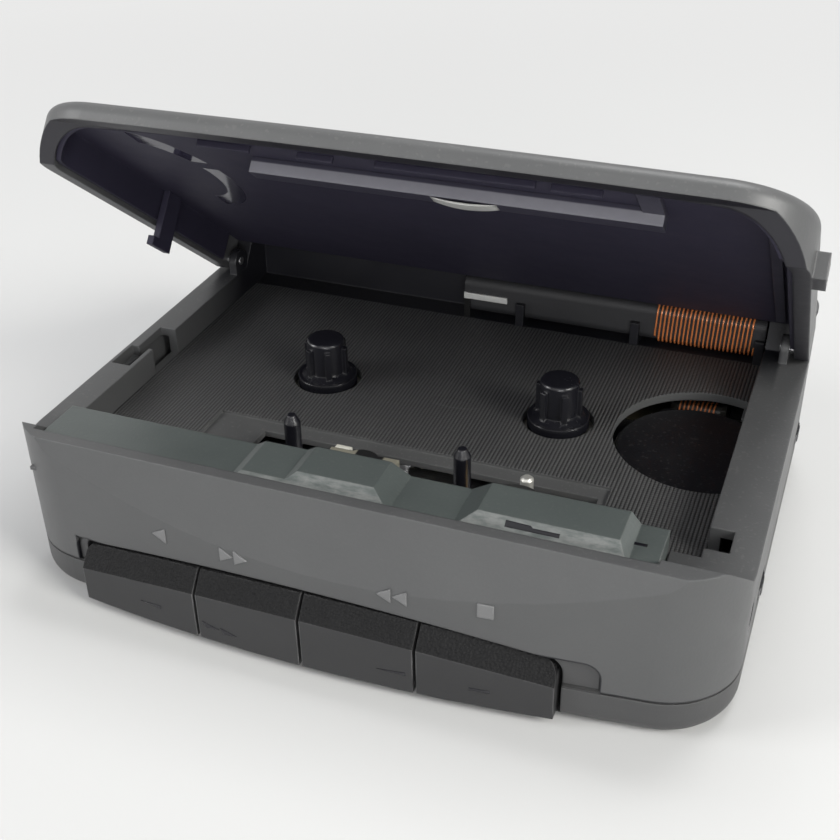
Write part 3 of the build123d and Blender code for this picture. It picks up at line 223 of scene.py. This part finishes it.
def shade(name, base, worn_and_highlight=None, mottle=0.2, grain_scale=3000.0, grain_height=0.3, rough=0.5, spread=0.2,
          wear_and_highlight=0.4, dust=0.1, metallic=0.0, specular=0.5, coat=0.0, coat_rough=0.1, brushed=None, relief=None,
          second=None, second_rough=None, where=None):
    """One material from the shared surface group, with its own values on the shader.

    A second colour and roughness hold where the function `where` gives one.
    """
    new = bpy.data.materials.new(name)
    new.use_nodes = True
    new.node_tree.nodes.clear()
    t = Tree(new.node_tree)
    worn_and_highlight = worn_and_highlight or tuple(min(1.0, 1.7 * c + 0.03) for c in base)
    inputs = {
        "Base": (*base, 1), "Worn And Highlight": (*worn_and_highlight, 1), "Mottle": mottle, "Grain Scale": grain_scale,
        "Grain Height": grain_height, "Rough": rough, "Rough Spread": spread, "Edge Wear And Highlight": wear_and_highlight, "Dust": dust,
    }
    if where:
        mask = where(t)
        inputs["Base"] = t.mix(mask, (*base, 1), (*(second or base), 1))
        inputs["Rough"] = t.ramp(mask, 0.0, 1.0, rough, second_rough or rough)
        inputs["Edge Wear And Highlight"] = t.ramp(mask, 0.0, 1.0, wear_and_highlight, 0.3 * wear_and_highlight)
    if brushed:
        lines = t.add("ShaderNodeGroup", node_tree=SCRATCHES)
        lines.inputs["Stretch"].default_value = brushed
        lines.inputs["Amount"].default_value = 0.6
        inputs["Relief"] = lines.outputs[0]
    if relief:
        inputs["Relief"] = relief(t)
    surface = t.add("ShaderNodeGroup", node_tree=WORN_SURFACE)
    for key, value in inputs.items():
        if isinstance(value, bpy.types.NodeSocket):
            new.node_tree.links.new(value, surface.inputs[key])
        else:
            surface.inputs[key].default_value = value
    shader = t.add("ShaderNodeBsdfPrincipled", {
        "Base Color": surface.outputs["Colour"], "Roughness": surface.outputs["Roughness"],
        "Normal": surface.outputs["Normal"], "Metallic": metallic, "Specular IOR Level": specular,
        "Coat Weight": coat, "Coat Roughness": coat_rough,
    })
    t.add("ShaderNodeOutputMaterial", {"Surface": shader.outputs[0]})
    return new


def place_from(t, corner):
    """Millimetres of a point of the piece from a corner that is given in millimetres."""
    in_mm = t.vectors("MULTIPLY", t.surface("Object"), (1 / MM,) * 3)[0]
    return t.vectors("SUBTRACT", in_mm, tuple(corner))[0]


def place_in_deck(t):
    """Millimetres of a point in the deck frame, as three sockets."""
    return t.split(place_from(t, DECK))


def turned_with_lid(t, vector):
    """Three sockets of a vector in the lid's own frame."""
    turned = t.add("ShaderNodeVectorRotate", {"Vector": vector, "Angle": -LID_TILT}, rotation_type="X_AXIS")
    return t.split(turned.outputs[0])


def place_in_lid(t):
    """Millimetres of a point in the lid's own frame, as three sockets."""
    return turned_with_lid(t, place_from(t, HINGE))


def faces_down_in_lid(t):
    """One on the faces that look down when the lid is shut."""
    return t.ramp(turned_with_lid(t, t.surface("Normal"))["Z"], -0.4, -0.7)


def seam_line(t):
    """One in the groove between the two casings, along the sides and round the bezel at the buttons."""
    place = place_in_deck(t)
    level = t.ramp(t.off(place["Z"], SEAM_Z), 0.3, 0.2)
    # Distance to the bezel's outline, a rectangle with rounded upper corners
    across = t.maths("SUBTRACT", t.off(place["X"], BEZEL_MIDDLE_X), BEZEL_HALF_WIDTH - BEZEL_CORNER)
    above = t.maths("SUBTRACT", place["Z"], BEZEL_TOP_Z - BEZEL_CORNER)
    corner = t.add("ShaderNodeCombineXYZ", {
        "X": t.maths("MAXIMUM", across, 0.0), "Y": t.maths("MAXIMUM", above, 0.0), "Z": 0.0,
    }).outputs[0]
    beyond = t.vectors("LENGTH", corner)["Value"]
    within = t.maths("MINIMUM", t.maths("MAXIMUM", across, above), 0.0)
    away = t.off(t.plus(beyond, within), BEZEL_CORNER)
    front = t.times(t.maths("LESS_THAN", place["Y"], -45.0), t.maths("GREATER_THAN", place["Z"], -12.0))
    return t.maths("MAXIMUM", level, t.times(t.ramp(away, 0.28, 0.16), front))


def beam_front_painted_light(t):
    """One on the lower part of the guide beam's front face, where a lighter colour is painted for the light
    that falls on it.
    """
    ahead = t.ramp(turned_with_lid(t, t.surface("Normal"))["Y"], -0.5, -0.7)
    place = place_in_lid(t)
    low = t.times(t.ramp(place["Z"], 3.7, 3.5), t.maths("GREATER_THAN", place["Y"], -61.0))
    return t.times(ahead, low)


def head_face(t):
    """One on the middle of the tape head's top, between its dark ends."""
    return t.ramp(t.off(place_in_deck(t)["X"], 0.85), 2.1, 2.35)


def clip_foot(t):
    """One on the rod clip's upright foot."""
    return t.ramp(place_in_deck(t)["Z"], 3.95, 3.85)


def rear_bay_painted_shade(t):
    """One inside the aerial's bay and on the rear ends of the well's walls, none on the casing's outside. The
    casing is painted nearly black there as painted shade.
    """
    place = place_in_deck(t)
    not_rearwards = t.ramp(t.split(t.surface("Normal"))["Y"], 0.3, 0.1)
    rear = t.times(t.ramp(place["Y"], 12.0, 25.0), t.ramp(place["Y"], 35.6, 35.2))
    across = t.times(t.ramp(t.maths("ABSOLUTE", place["X"]), 54.4, 53.8), not_rearwards)
    height = t.times(t.ramp(place["Z"], -2.0, -1.0), t.ramp(place["Z"], 13.4, 13.1))
    return t.times(rear, t.times(across, height))


def seam_and_painted_shade(t):
    """One wherever the casing is nearly black: in the seam's groove, and in the rear bay as painted shade."""
    return t.maths("MAXIMUM", rear_bay_painted_shade(t), seam_line(t))


def deck_grooves(t):
    """One in the fine grooves that run from front to rear on the deck, with beads along them. It sinks them
    as relief and paints them darker as painted shade.
    """
    groove_pitch, bead_pitch = 0.62, 0.55
    place = place_in_deck(t)
    wave = t.maths("PINGPONG", t.times(place["X"], 1 / groove_pitch), 0.5)
    beads = t.maths("PINGPONG", t.times(place["Y"], 1 / bead_pitch), 0.5)
    grooves = t.plus(t.ramp(wave, 0.3, 0.05), t.ramp(beads, 0.2, 0.05, 0.0, 0.4))
    return t.times(grooves, t.maths("GREATER_THAN", place["Z"], -0.1), clamp=True)


def oval_square(t, place, middle, half):
    """One on an oval's outline, growing with the square of the distance from its middle."""
    across = t.maths("DIVIDE", t.maths("SUBTRACT", place["X"], middle[0]), half[0])
    along = t.maths("DIVIDE", t.maths("SUBTRACT", place["Y"], middle[1]), half[1])
    return t.plus(t.times(across, across), t.times(along, along))


def deck_ribs(t):
    """Height of the deck's ribs, with the faint oval dent between the reels."""
    dent = oval_square(t, place_in_deck(t), (3.0, -0.9), (4.4, 1.5))
    return t.maths("SUBTRACT", t.ramp(dent, 0.7, 1.1), deck_grooves(t))


def button_slope(t):
    """One on the buttons' grained upper slopes, none on their smooth fronts. The slopes are painted darker
    with it as painted shade.
    """
    return t.ramp(t.split(t.surface("Normal"))["Z"], 0.15, 0.3)


def button_grain(t):
    """Leathery grain of the buttons' upper slopes."""
    cells = t.add("ShaderNodeTexVoronoi", {"Vector": t.surface("Object"), "Scale": 2400.0})
    return t.times(t.times(cells.outputs["Distance"], 1.6), button_slope(t))


def cover_slopes(t):
    """Patchy mask on the head cover's front slopes, where the paint is rubbed."""
    stretched = t.vectors("MULTIPLY", t.surface("Object"), (300.0, 900.0, 900.0))[0]
    slope = t.ramp(t.split(t.surface("Normal"))["Y"], -0.2, -0.4)
    return t.times(slope, t.ramp(t.noise(stretched, 1.0, 4.0, 0.7), 0.35, 0.6))


def polished_arcs(t):
    """One on two arcs of the liner's ceiling that are rubbed to a gloss, at its left end."""
    place = place_in_lid(t)
    span = t.maths("SQRT", oval_square(t, place, (-44.0, -45.5), (9.0, 16.0)))
    ring = t.times(t.ramp(span, 0.8, 0.83), t.ramp(span, 1.14, 1.11))
    right = t.times(ring, t.maths("GREATER_THAN", place["X"], -43.0))
    return t.times(right, t.ramp(t.off(place["Y"], -50.5), 1.3, 1.6))


# Nearly black in the seam's groove, and painted shade inside the rear bay
CASING = shade("casing_plastic", (0.072, 0.073, 0.074), mottle=0.22, grain_scale=2600.0, grain_height=0.35,
               rough=0.42, spread=0.22, wear_and_highlight=0.35, dust=0.05, where=seam_and_painted_shade,
               second=(0.0075, 0.0075, 0.0105))
LOWER = shade("lower_casing_plastic", (0.05, 0.05, 0.051), mottle=0.2, grain_scale=2600.0, grain_height=0.4,
              rough=0.45, wear_and_highlight=0.4, dust=0.05, where=seam_line, second=(0.006, 0.006, 0.006))
LID_OUTSIDE = shade("lid_plastic", (0.072, 0.073, 0.074), mottle=0.2, grain_scale=2600.0, grain_height=0.35,
                    rough=0.42, wear_and_highlight=0.4, dust=0.06, where=faces_down_in_lid, second=(0.011, 0.0105, 0.015))
LID_INSIDE = shade("lid_gloss_plastic", (0.027, 0.0245, 0.041), worn_and_highlight=(0.05, 0.047, 0.062), mottle=0.4,
                   grain_scale=900.0, grain_height=0.15, rough=0.55, spread=0.16, wear_and_highlight=0.5, dust=0.0,
                   specular=0.22, where=polished_arcs, second_rough=0.07)
# The lower front of the guide beam is painted lighter as painted light from the front
BEAM = shade("guide_beam_plastic", (0.036, 0.034, 0.05), worn_and_highlight=(0.09, 0.087, 0.1), mottle=0.3,
             grain_scale=900.0, grain_height=0.15, rough=0.4, wear_and_highlight=0.5, dust=0.0, specular=0.3,
             where=beam_front_painted_light, second=(0.2, 0.197, 0.22))
# The deck's grooves are painted darker as painted shade, besides their relief
DECK_PLASTIC = shade("deck_plastic", (0.083, 0.084, 0.084), mottle=0.3, grain_scale=4000.0, grain_height=0.5,
                     rough=0.5, wear_and_highlight=0.4, dust=0.08, relief=deck_ribs, where=deck_grooves,
                     second=(0.02, 0.02, 0.0205))
COVER = shade("cover_plastic", (0.084, 0.097, 0.093), worn_and_highlight=(0.2, 0.21, 0.2), mottle=0.35, grain_scale=2200.0,
              grain_height=0.5, rough=0.36, wear_and_highlight=0.9, dust=0.03, where=cover_slopes,
              second=(0.17, 0.178, 0.172))
# The buttons' upper slopes are painted darker as painted shade, and their lighter edges are partly rubbed and
# partly a painted highlight
BUTTONS = shade("button_plastic", (0.036, 0.036, 0.037), worn_and_highlight=(0.22, 0.22, 0.22), mottle=0.3,
                grain_scale=3200.0, grain_height=0.35, rough=0.36, wear_and_highlight=0.7, dust=0.0, specular=0.2,
                relief=button_grain, where=button_slope, second=(0.0055, 0.0055, 0.006), second_rough=0.65)
BLACK = shade("black_plastic", (0.009, 0.009, 0.012), mottle=0.3, grain_height=0.15, rough=0.24, wear_and_highlight=0.3,
              dust=0.02)
WHITE = shade("white_plastic", (0.62, 0.61, 0.54), mottle=0.2, grain_height=0.2, rough=0.4, wear_and_highlight=0.1,
              dust=0.02)
# The coil former is white plastic, painted dark here as painted shade
FORMER_PAINTED_SHADE = shade("former_painted_shade_plastic", (0.03, 0.028, 0.024), mottle=0.2, grain_height=0.2, rough=0.4, wear_and_highlight=0.2,
              dust=0.02)
STEEL = shade("rolled_steel", (0.42, 0.42, 0.43), mottle=0.3, grain_scale=1800.0, grain_height=0.2,
              rough=0.34, wear_and_highlight=0.3, dust=0.05, metallic=1.0, brushed=(80.0, 3500.0, 3500.0))
DARK_METAL = shade("black_metal", (0.012, 0.012, 0.014), mottle=0.3, grain_height=0.4, rough=0.42, wear_and_highlight=0.3,
                   dust=0.05, metallic=0.3)
CHROME = shade("polished_chrome", (0.72, 0.72, 0.73), mottle=0.12, grain_height=0.05, rough=0.16, spread=0.1,
               wear_and_highlight=0.0, dust=0.02, metallic=1.0)
SPRING = shade("plated_spring_steel", (0.75, 0.75, 0.72), mottle=0.5, grain_scale=700.0, grain_height=0.5,
               rough=0.42, wear_and_highlight=0.0, dust=0.0, metallic=0.55)
CLIP = shade("clip_spring_steel", (0.75, 0.75, 0.72), mottle=0.5, grain_scale=700.0, grain_height=0.5,
             rough=0.42, wear_and_highlight=0.0, dust=0.0, metallic=0.4, where=clip_foot, second=(0.012, 0.012, 0.012))
NICKEL = shade("brushed_nickel", (0.6, 0.59, 0.55), mottle=0.2, grain_scale=1500.0, grain_height=0.2,
               rough=0.35, wear_and_highlight=0.0, dust=0.0, metallic=0.6)
HEAD = shade("head_can_metal", (0.03, 0.03, 0.03), mottle=0.2, grain_scale=1500.0, grain_height=0.2,
             rough=0.35, wear_and_highlight=0.3, dust=0.0, metallic=0.45, where=head_face, second=(0.4, 0.38, 0.3))
COPPER = shade("enamelled_copper", (0.78, 0.25, 0.075), worn_and_highlight=(0.7, 0.3, 0.12), mottle=0.5,
               grain_scale=1400.0, grain_height=0.1, rough=0.34, wear_and_highlight=0.2, dust=0.0, metallic=0.2,
               coat=0.4, coat_rough=0.2)
FERRITE = shade("sintered_ferrite", (0.02, 0.02, 0.022), mottle=0.4, grain_scale=2500.0, grain_height=0.8,
                rough=0.6, wear_and_highlight=0.5, dust=0.02)
BRONZE = shade("turned_bronze", (0.5, 0.33, 0.14), mottle=0.2, grain_height=0.15, rough=0.28, wear_and_highlight=0.3,
               dust=0.03, metallic=1.0)
RUBBER = shade("smooth_rubber", (0.014, 0.014, 0.014), mottle=0.3, grain_scale=2400.0, grain_height=0.4,
               rough=0.62, wear_and_highlight=0.2, dust=0.1)
BOARD = shade("laminate_board", (0.028, 0.024, 0.014), mottle=0.3, grain_scale=2000.0, grain_height=0.3,
              rough=0.45, wear_and_highlight=0.4, dust=0.05)
CELL = shade("cell_sleeve", (0.05, 0.055, 0.065), mottle=0.15, grain_height=0.1, rough=0.25, wear_and_highlight=0.3,
             dust=0.02, metallic=0.5)
MARK = shade("raised_mark_plastic", (0.145, 0.146, 0.147), mottle=0.3, grain_height=0.2, rough=0.35,
             wear_and_highlight=0.6, dust=0.05)

slot_materials = {
    "casing": CASING, "lower_casing": LOWER, "lid_outside": LID_OUTSIDE, "lid_inside": LID_INSIDE,
    "deck": DECK_PLASTIC, "cover": COVER, "buttons": BUTTONS, "black_plastic": BLACK, "white_plastic": WHITE,
    "steel": STEEL, "dark_metal": DARK_METAL, "chrome": CHROME, "copper": COPPER, "ferrite": FERRITE,
    "bronze": BRONZE, "rubber": RUBBER, "board": BOARD, "cell": CELL,
}
node_slots = {s["node"]: s["material_slot"] for s in frame["record"]["subparts"]}
own_materials = {
    "cassette_guide": BEAM, "coil_former": FORMER_PAINTED_SHADE, "leaf_spring": SPRING, "rod_clip": CLIP, "tape_head": HEAD,
    "capstan_shaft": NICKEL,
}
for name, piece in frame["nodes"].items():
    piece.data.materials.clear()
    piece.data.materials.append(own_materials.get(name) or slot_materials[node_slots[name]])


def finish_piece(name, bm, body, material, bevel=0.0):
    """Turns a bmesh into a piece that rides on a body."""
    bmesh.ops.recalc_face_normals(bm, faces=bm.faces)
    mesh = bpy.data.meshes.new(name)
    bm.to_mesh(mesh)
    bm.free()
    piece = bpy.data.objects.new(name, mesh)
    bpy.context.scene.collection.objects.link(piece)
    mesh.materials.append(material)
    if bevel:
        rounding = piece.modifiers.new("rounding", "BEVEL")
        rounding.width = bevel
        rounding.segments = 2
        rounding.limit_method = "ANGLE"
    mesh.shade_smooth()
    mesh.set_sharp_from_angle(angle=math.radians(35))
    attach(piece, body)
    return piece


def band(bm, first, second):
    """Faces between two loops of vertices."""
    for i in range(len(first)):
        j = (i + 1) % len(first)
        bm.faces.new((first[i], first[j], second[j], second[i]))


def prism(bm, outline, place, low, high):
    """Solid between two copies of an outline, each point put in place by a function of (u, v, height)."""
    bottom = [bm.verts.new(place(u, v, low)) for u, v in outline]
    top = [bm.verts.new(place(u, v, high)) for u, v in outline]
    bm.faces.new(bottom[::-1])
    bm.faces.new(top)
    band(bm, bottom, top)


def prisms(outlines, place, low, high):
    """New bmesh with a prism on each outline."""
    bm = bmesh.new()
    for outline in outlines:
        prism(bm, outline, place, low, high)
    return bm


def on_wall(x, z, out):
    """Point before the casing's bowed front wall."""
    return deck(x, WALL_FRONT_Y + (x - CASING_MIDDLE_X) ** 2 / WALL_BOW - out, z)


def on_button(x, z, out):
    """Point before the buttons' bowed front."""
    return deck(x, BUTTONS_FRONT_Y + (x - BUTTONS_MIDDLE_X) ** 2 / BUTTONS_BOW - out, z)


def on_slope(x, along, out):
    """Point over the head cover's front slope, by the way up the slope."""
    sine, cosine = math.sin(COVER_SLOPE), math.cos(COVER_SLOPE)
    return deck(x, COVER_FRONT_Y + along * cosine - out * sine, COVER_LOW_Z + along * sine + out * cosine)


def triangle(x, z, width, height):
    """Arrow head on its base's middle, towards the left, or the right where the width is negative."""
    return [(x - width / 2, z), (x + width / 2, z - height / 2), (x + width / 2, z + height / 2)]


# Transport marks moulded over the buttons, upside down as the words in their place are
wall_marks = (
    ("play_mark", [triangle(-26.7, -1.2, 2.4, 2.7)]),
    ("rewind_mark", [triangle(x, -1.6, -2.2, 2.5) for x in (-15.0, -12.6)]),
    ("forward_mark", [triangle(x, -1.5, 2.2, 2.5) for x in (10.0, 12.4)]),
    ("stop_mark", [[(23.7, -1.9), (26.1, -1.9), (26.1, 0.5), (23.7, 0.5)]]),
)
for name, outlines in wall_marks:
    finish_piece(name, prisms(outlines, on_wall, -0.1, 0.18), "root", MARK, bevel=0.00006)

# Small marks on the buttons' fronts
button_marks = (
    ("play_button_mark", "play", [[(-30.4, -13.3), (-26.6, -13.7), (-26.6, -13.1)]]),
    ("rewind_button_mark", "rewind", [[(-16.2, -14.3), (-19.2, -13.4), (-18.6, -14.6)],
                                      [(-13.2, -14.6), (-16.0, -13.8), (-15.5, -15.0)]]),
    ("forward_button_mark", "fast_forward", [[(9.4, -13.6), (13.9, -13.9), (13.9, -13.3)]]),
    ("stop_button_mark", "stop", [[(23.2, -14.1), (26.3, -14.1), (26.3, -13.6), (23.2, -13.6)]]),
)
for name, body, outlines in button_marks:
    finish_piece(name, prisms(outlines, on_button, -0.1, 0.12), body, BLACK, bevel=0.00004)

# Black patches on the head cover as painted shade of its slots: one in the front slope of the roller's land,
# one at the right end
land_slot_shade = [(25.3, 1.6), (33.0, 1.6), (33.0, 2.2), (29.2, 2.2), (28.8, 2.5), (25.3, 2.6)]
end_slot_shade = [(41.9, -39.6), (44.3, -39.6), (44.3, -39.0), (41.9, -39.0)]
bm = prisms([land_slot_shade], on_slope, -0.05, 0.03)
prism(bm, end_slot_shade, deck, 8.35, 8.43)
finish_piece("cover_slots_painted_shade", bm, "root", BLACK)

# Thin ridges moulded inside the lid, between the cassette guide and the front
ridge_places = ((-30.0, -21.5, -64.2), (-14.0, -8.5, -64.2), (-2.0, 21.0, -64.6), (23.0, 30.0, -64.2))
ridges = [[(x1, y), (x2, y), (x2, y + 0.6), (x1, y + 0.6)] for x1, x2, y in ridge_places]
finish_piece("lid_ridges", prisms(ridges, lid, 3.3, 4.35), "lid", LID_INSIDE, bevel=0.0001)


def circle(bm, x, y, radius, z):
    """Vertices of a level circle."""
    count = 28
    return [
        bm.verts.new(deck(x + radius * math.cos(a), y + radius * math.sin(a), z))
        for a in (2 * math.pi * i / count for i in range(count))
    ]


def cross_head(bm, x, y, z_face, radius, depth, across, arm):
    """Round head facing down, its cross recess sunk into it."""
    rim_step, face_share = 0.25, 0.86
    recess_depth, recess_taper = 0.75, 0.6
    rim = circle(bm, x, y, radius, z_face + rim_step)
    face = circle(bm, x, y, face_share * radius, z_face)
    top = circle(bm, x, y, radius, z_face + depth)
    half, tip = arm / 2, across / 2
    outline = [(tip, -half), (tip, half), (half, half), (half, tip), (-half, tip), (-half, half),
               (-tip, half), (-tip, -half), (-half, -half), (-half, -tip), (half, -tip), (half, -half)]
    mouth = [bm.verts.new(deck(x + u, y + v, z_face)) for u, v in outline]
    bottom = [
        bm.verts.new(deck(x + recess_taper * u, y + recess_taper * v, z_face + recess_depth))
        for u, v in outline
    ]
    band(bm, rim, top)
    band(bm, face, rim)
    band(bm, mouth, bottom)
    bm.faces.new(bottom)
    bm.faces.new(top)
    edges = [
        bm.edges.get(pair) or bm.edges.new(pair)
        for loop in (face, mouth) for pair in zip(loop, loop[1:] + loop[:1])
    ]
    bmesh.ops.triangle_fill(bm, edges=edges, use_beauty=True, use_dissolve=False)


def shank(bm, x, y, radius, z1, z2):
    """Threaded shank, its thread one long helical ridge."""
    least_pitch, core_share, steps = 0.8, 0.82, 14
    turns = int((z2 - z1) / least_pitch)
    pitch = (z2 - z1) / turns
    core = core_share * radius
    rows = [
        (2 * math.pi * i / steps, z1 + (z2 - z1) * i / (turns * steps)) for i in range(turns * steps + 1)
    ]
    for pair in zip(rows[:-1], rows[1:]):
        v = [
            bm.verts.new(deck(x + r * math.cos(a), y + r * math.sin(a), min(z + up, z2)))
            for a, z in pair for r, up in ((core, 0.0), (radius, 0.4 * pitch), (core, 0.8 * pitch))
        ]
        bm.faces.new((v[0], v[3], v[4], v[1]))
        bm.faces.new((v[1], v[4], v[5], v[2]))
    bmesh.ops.remove_doubles(bm, verts=bm.verts, dist=1e-6)


# Casing screws with a cross recess, seen from below
casing_screw_places = ((-49.1, -41.5), (51.8, -41.5), (-50.0, 31.9), (-1.5, 32.2))
bm = bmesh.new()
for x, y in casing_screw_places:
    shank(bm, x, y, radius=1.0, z1=-14.0, z2=-5.2)
for x, y in casing_screw_places:
    cross_head(bm, x, y, z_face=-15.3, radius=2.1, depth=1.3, across=2.3, arm=0.55)
screws = finish_piece("casing_screws_crossed", bm, "root", STEEL)
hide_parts("casing_screws")


def shows_background(t):
    """One for the rays that show the background: from the camera, off gloss and through glass."""
    rays = t.add("ShaderNodeLightPath").outputs
    seen_or_mirrored = t.maths("MAXIMUM", rays["Is Camera Ray"], rays["Is Glossy Ray"])
    return t.maths("MAXIMUM", seen_or_mirrored, rays["Is Transmission Ray"])


# Floor, world, lights and camera
PALE = (0.82, 0.82, 0.815, 1)
floor_material = bpy.data.materials.new("pale_floor")
floor_material.use_nodes = True
floor_material.node_tree.nodes.clear()
t = Tree(floor_material.node_tree)
spot = t.surface("Object")
paper_colour = t.mix(t.noise(spot, 4.0, 3.0), (0.545, 0.545, 0.54, 1), (0.57, 0.57, 0.562, 1))
paper = t.add("ShaderNodeBsdfPrincipled", {
    "Base Color": paper_colour, "Roughness": 0.9, "Specular IOR Level": 0.0,
})
# Away from the object the floor keeps its pale colour, whatever the lamps do
away = t.ramp(t.vectors("LENGTH", spot)["Value"], 0.13, 0.38)
glow = t.add("ShaderNodeEmission", {"Color": PALE, "Strength": 1.0})
surface = t.add("ShaderNodeMixShader", {
    0: t.times(away, shows_background(t)), 1: paper.outputs[0], 2: glow.outputs[0],
})
t.add("ShaderNodeOutputMaterial", {"Surface": surface.outputs[0]})
bm = bmesh.new()
bmesh.ops.create_grid(bm, x_segments=8, y_segments=8, size=3.0)
floor_mesh = bpy.data.meshes.new("floor")
bm.to_mesh(floor_mesh)
bm.free()
floor = bpy.data.objects.new("floor", floor_mesh)
bpy.context.scene.collection.objects.link(floor)
floor_mesh.materials.append(floor_material)

world = bpy.data.worlds.new("studio")
bpy.context.scene.world = world
world.use_nodes = True
t = Tree(world.node_tree)
height = t.split(t.surface("Generated"))["Z"]
sky = t.mix(t.ramp(height, -0.1, 0.9), (0.36, 0.37, 0.4, 1), (0.93, 0.95, 1.0, 1))
backdrop = world.node_tree.nodes["Background"]
world.node_tree.links.new(sky, backdrop.inputs["Color"])
backdrop.inputs["Strength"].default_value = 0.42
seen = t.add("ShaderNodeBackground", {"Color": PALE})
both = t.add("ShaderNodeMixShader", {0: shows_background(t), 1: backdrop.outputs[0], 2: seen.outputs[0]})
world.node_tree.links.new(both.outputs[0], world.node_tree.nodes["World Output"].inputs["Surface"])


def softbox(name, place, target, size, power, colour=(1, 1, 1)):
    """Rectangular soft light at a place, aimed at a target."""
    lamp = bpy.data.lights.new(name, "AREA")
    lamp.shape = "RECTANGLE"
    lamp.size, lamp.size_y = size
    lamp.energy = power
    lamp.color = colour
    holder = bpy.data.objects.new(name, lamp)
    holder.location = place
    holder.rotation_euler = (Vector(target) - Vector(place)).to_track_quat("-Z", "Y").to_euler()
    bpy.context.scene.collection.objects.link(holder)


softbox("left_window", (-0.85, -0.45, 0.5), (0, 0, 0.02), (0.4, 0.5), 5.5)
softbox("front_light", (0.1, -0.8, 0.8), (0, 0, 0.02), (0.8, 0.6), 1.2)
softbox("low_front_light", (0.4, -0.95, 0.2), (0, 0, 0.01), (0.5, 0.2), 5.0)
softbox("rear_top_light", (0.1, 0.5, 1.2), (0, 0, 0), (0.6, 0.4), 9.0)
softbox("right_window", (0.88, -0.28, 0.62), (0, 0, 0.02), (0.4, 0.5), 10.5, (1.0, 0.99, 0.95))

# The camera's focal length was fitted in pixels of the photograph, which is 840 wide
focal_pixels, picture_width = 1248.14, 840.0
camera_data = bpy.data.cameras.new("camera")
camera_data.sensor_width = 36.0
camera_data.lens = focal_pixels * camera_data.sensor_width / picture_width
camera_data.clip_start = 0.01
camera = bpy.data.objects.new("camera", camera_data)
bpy.context.scene.collection.objects.link(camera)
forward = Vector((-0.3103, 0.7842, -0.5373)).normalized()
up = Vector((-0.1802, 0.5064, 0.8432))
right = forward.cross(up).normalized()
up = right.cross(forward).normalized()
turn = Matrix((right, up, -forward)).transposed()
camera.matrix_world = Matrix.Translation(Vector((0.06335, -0.16614, 0.13152))) @ turn.to_4x4()
bpy.context.scene.camera = camera
bpy.context.scene.view_settings.view_transform = "Standard"
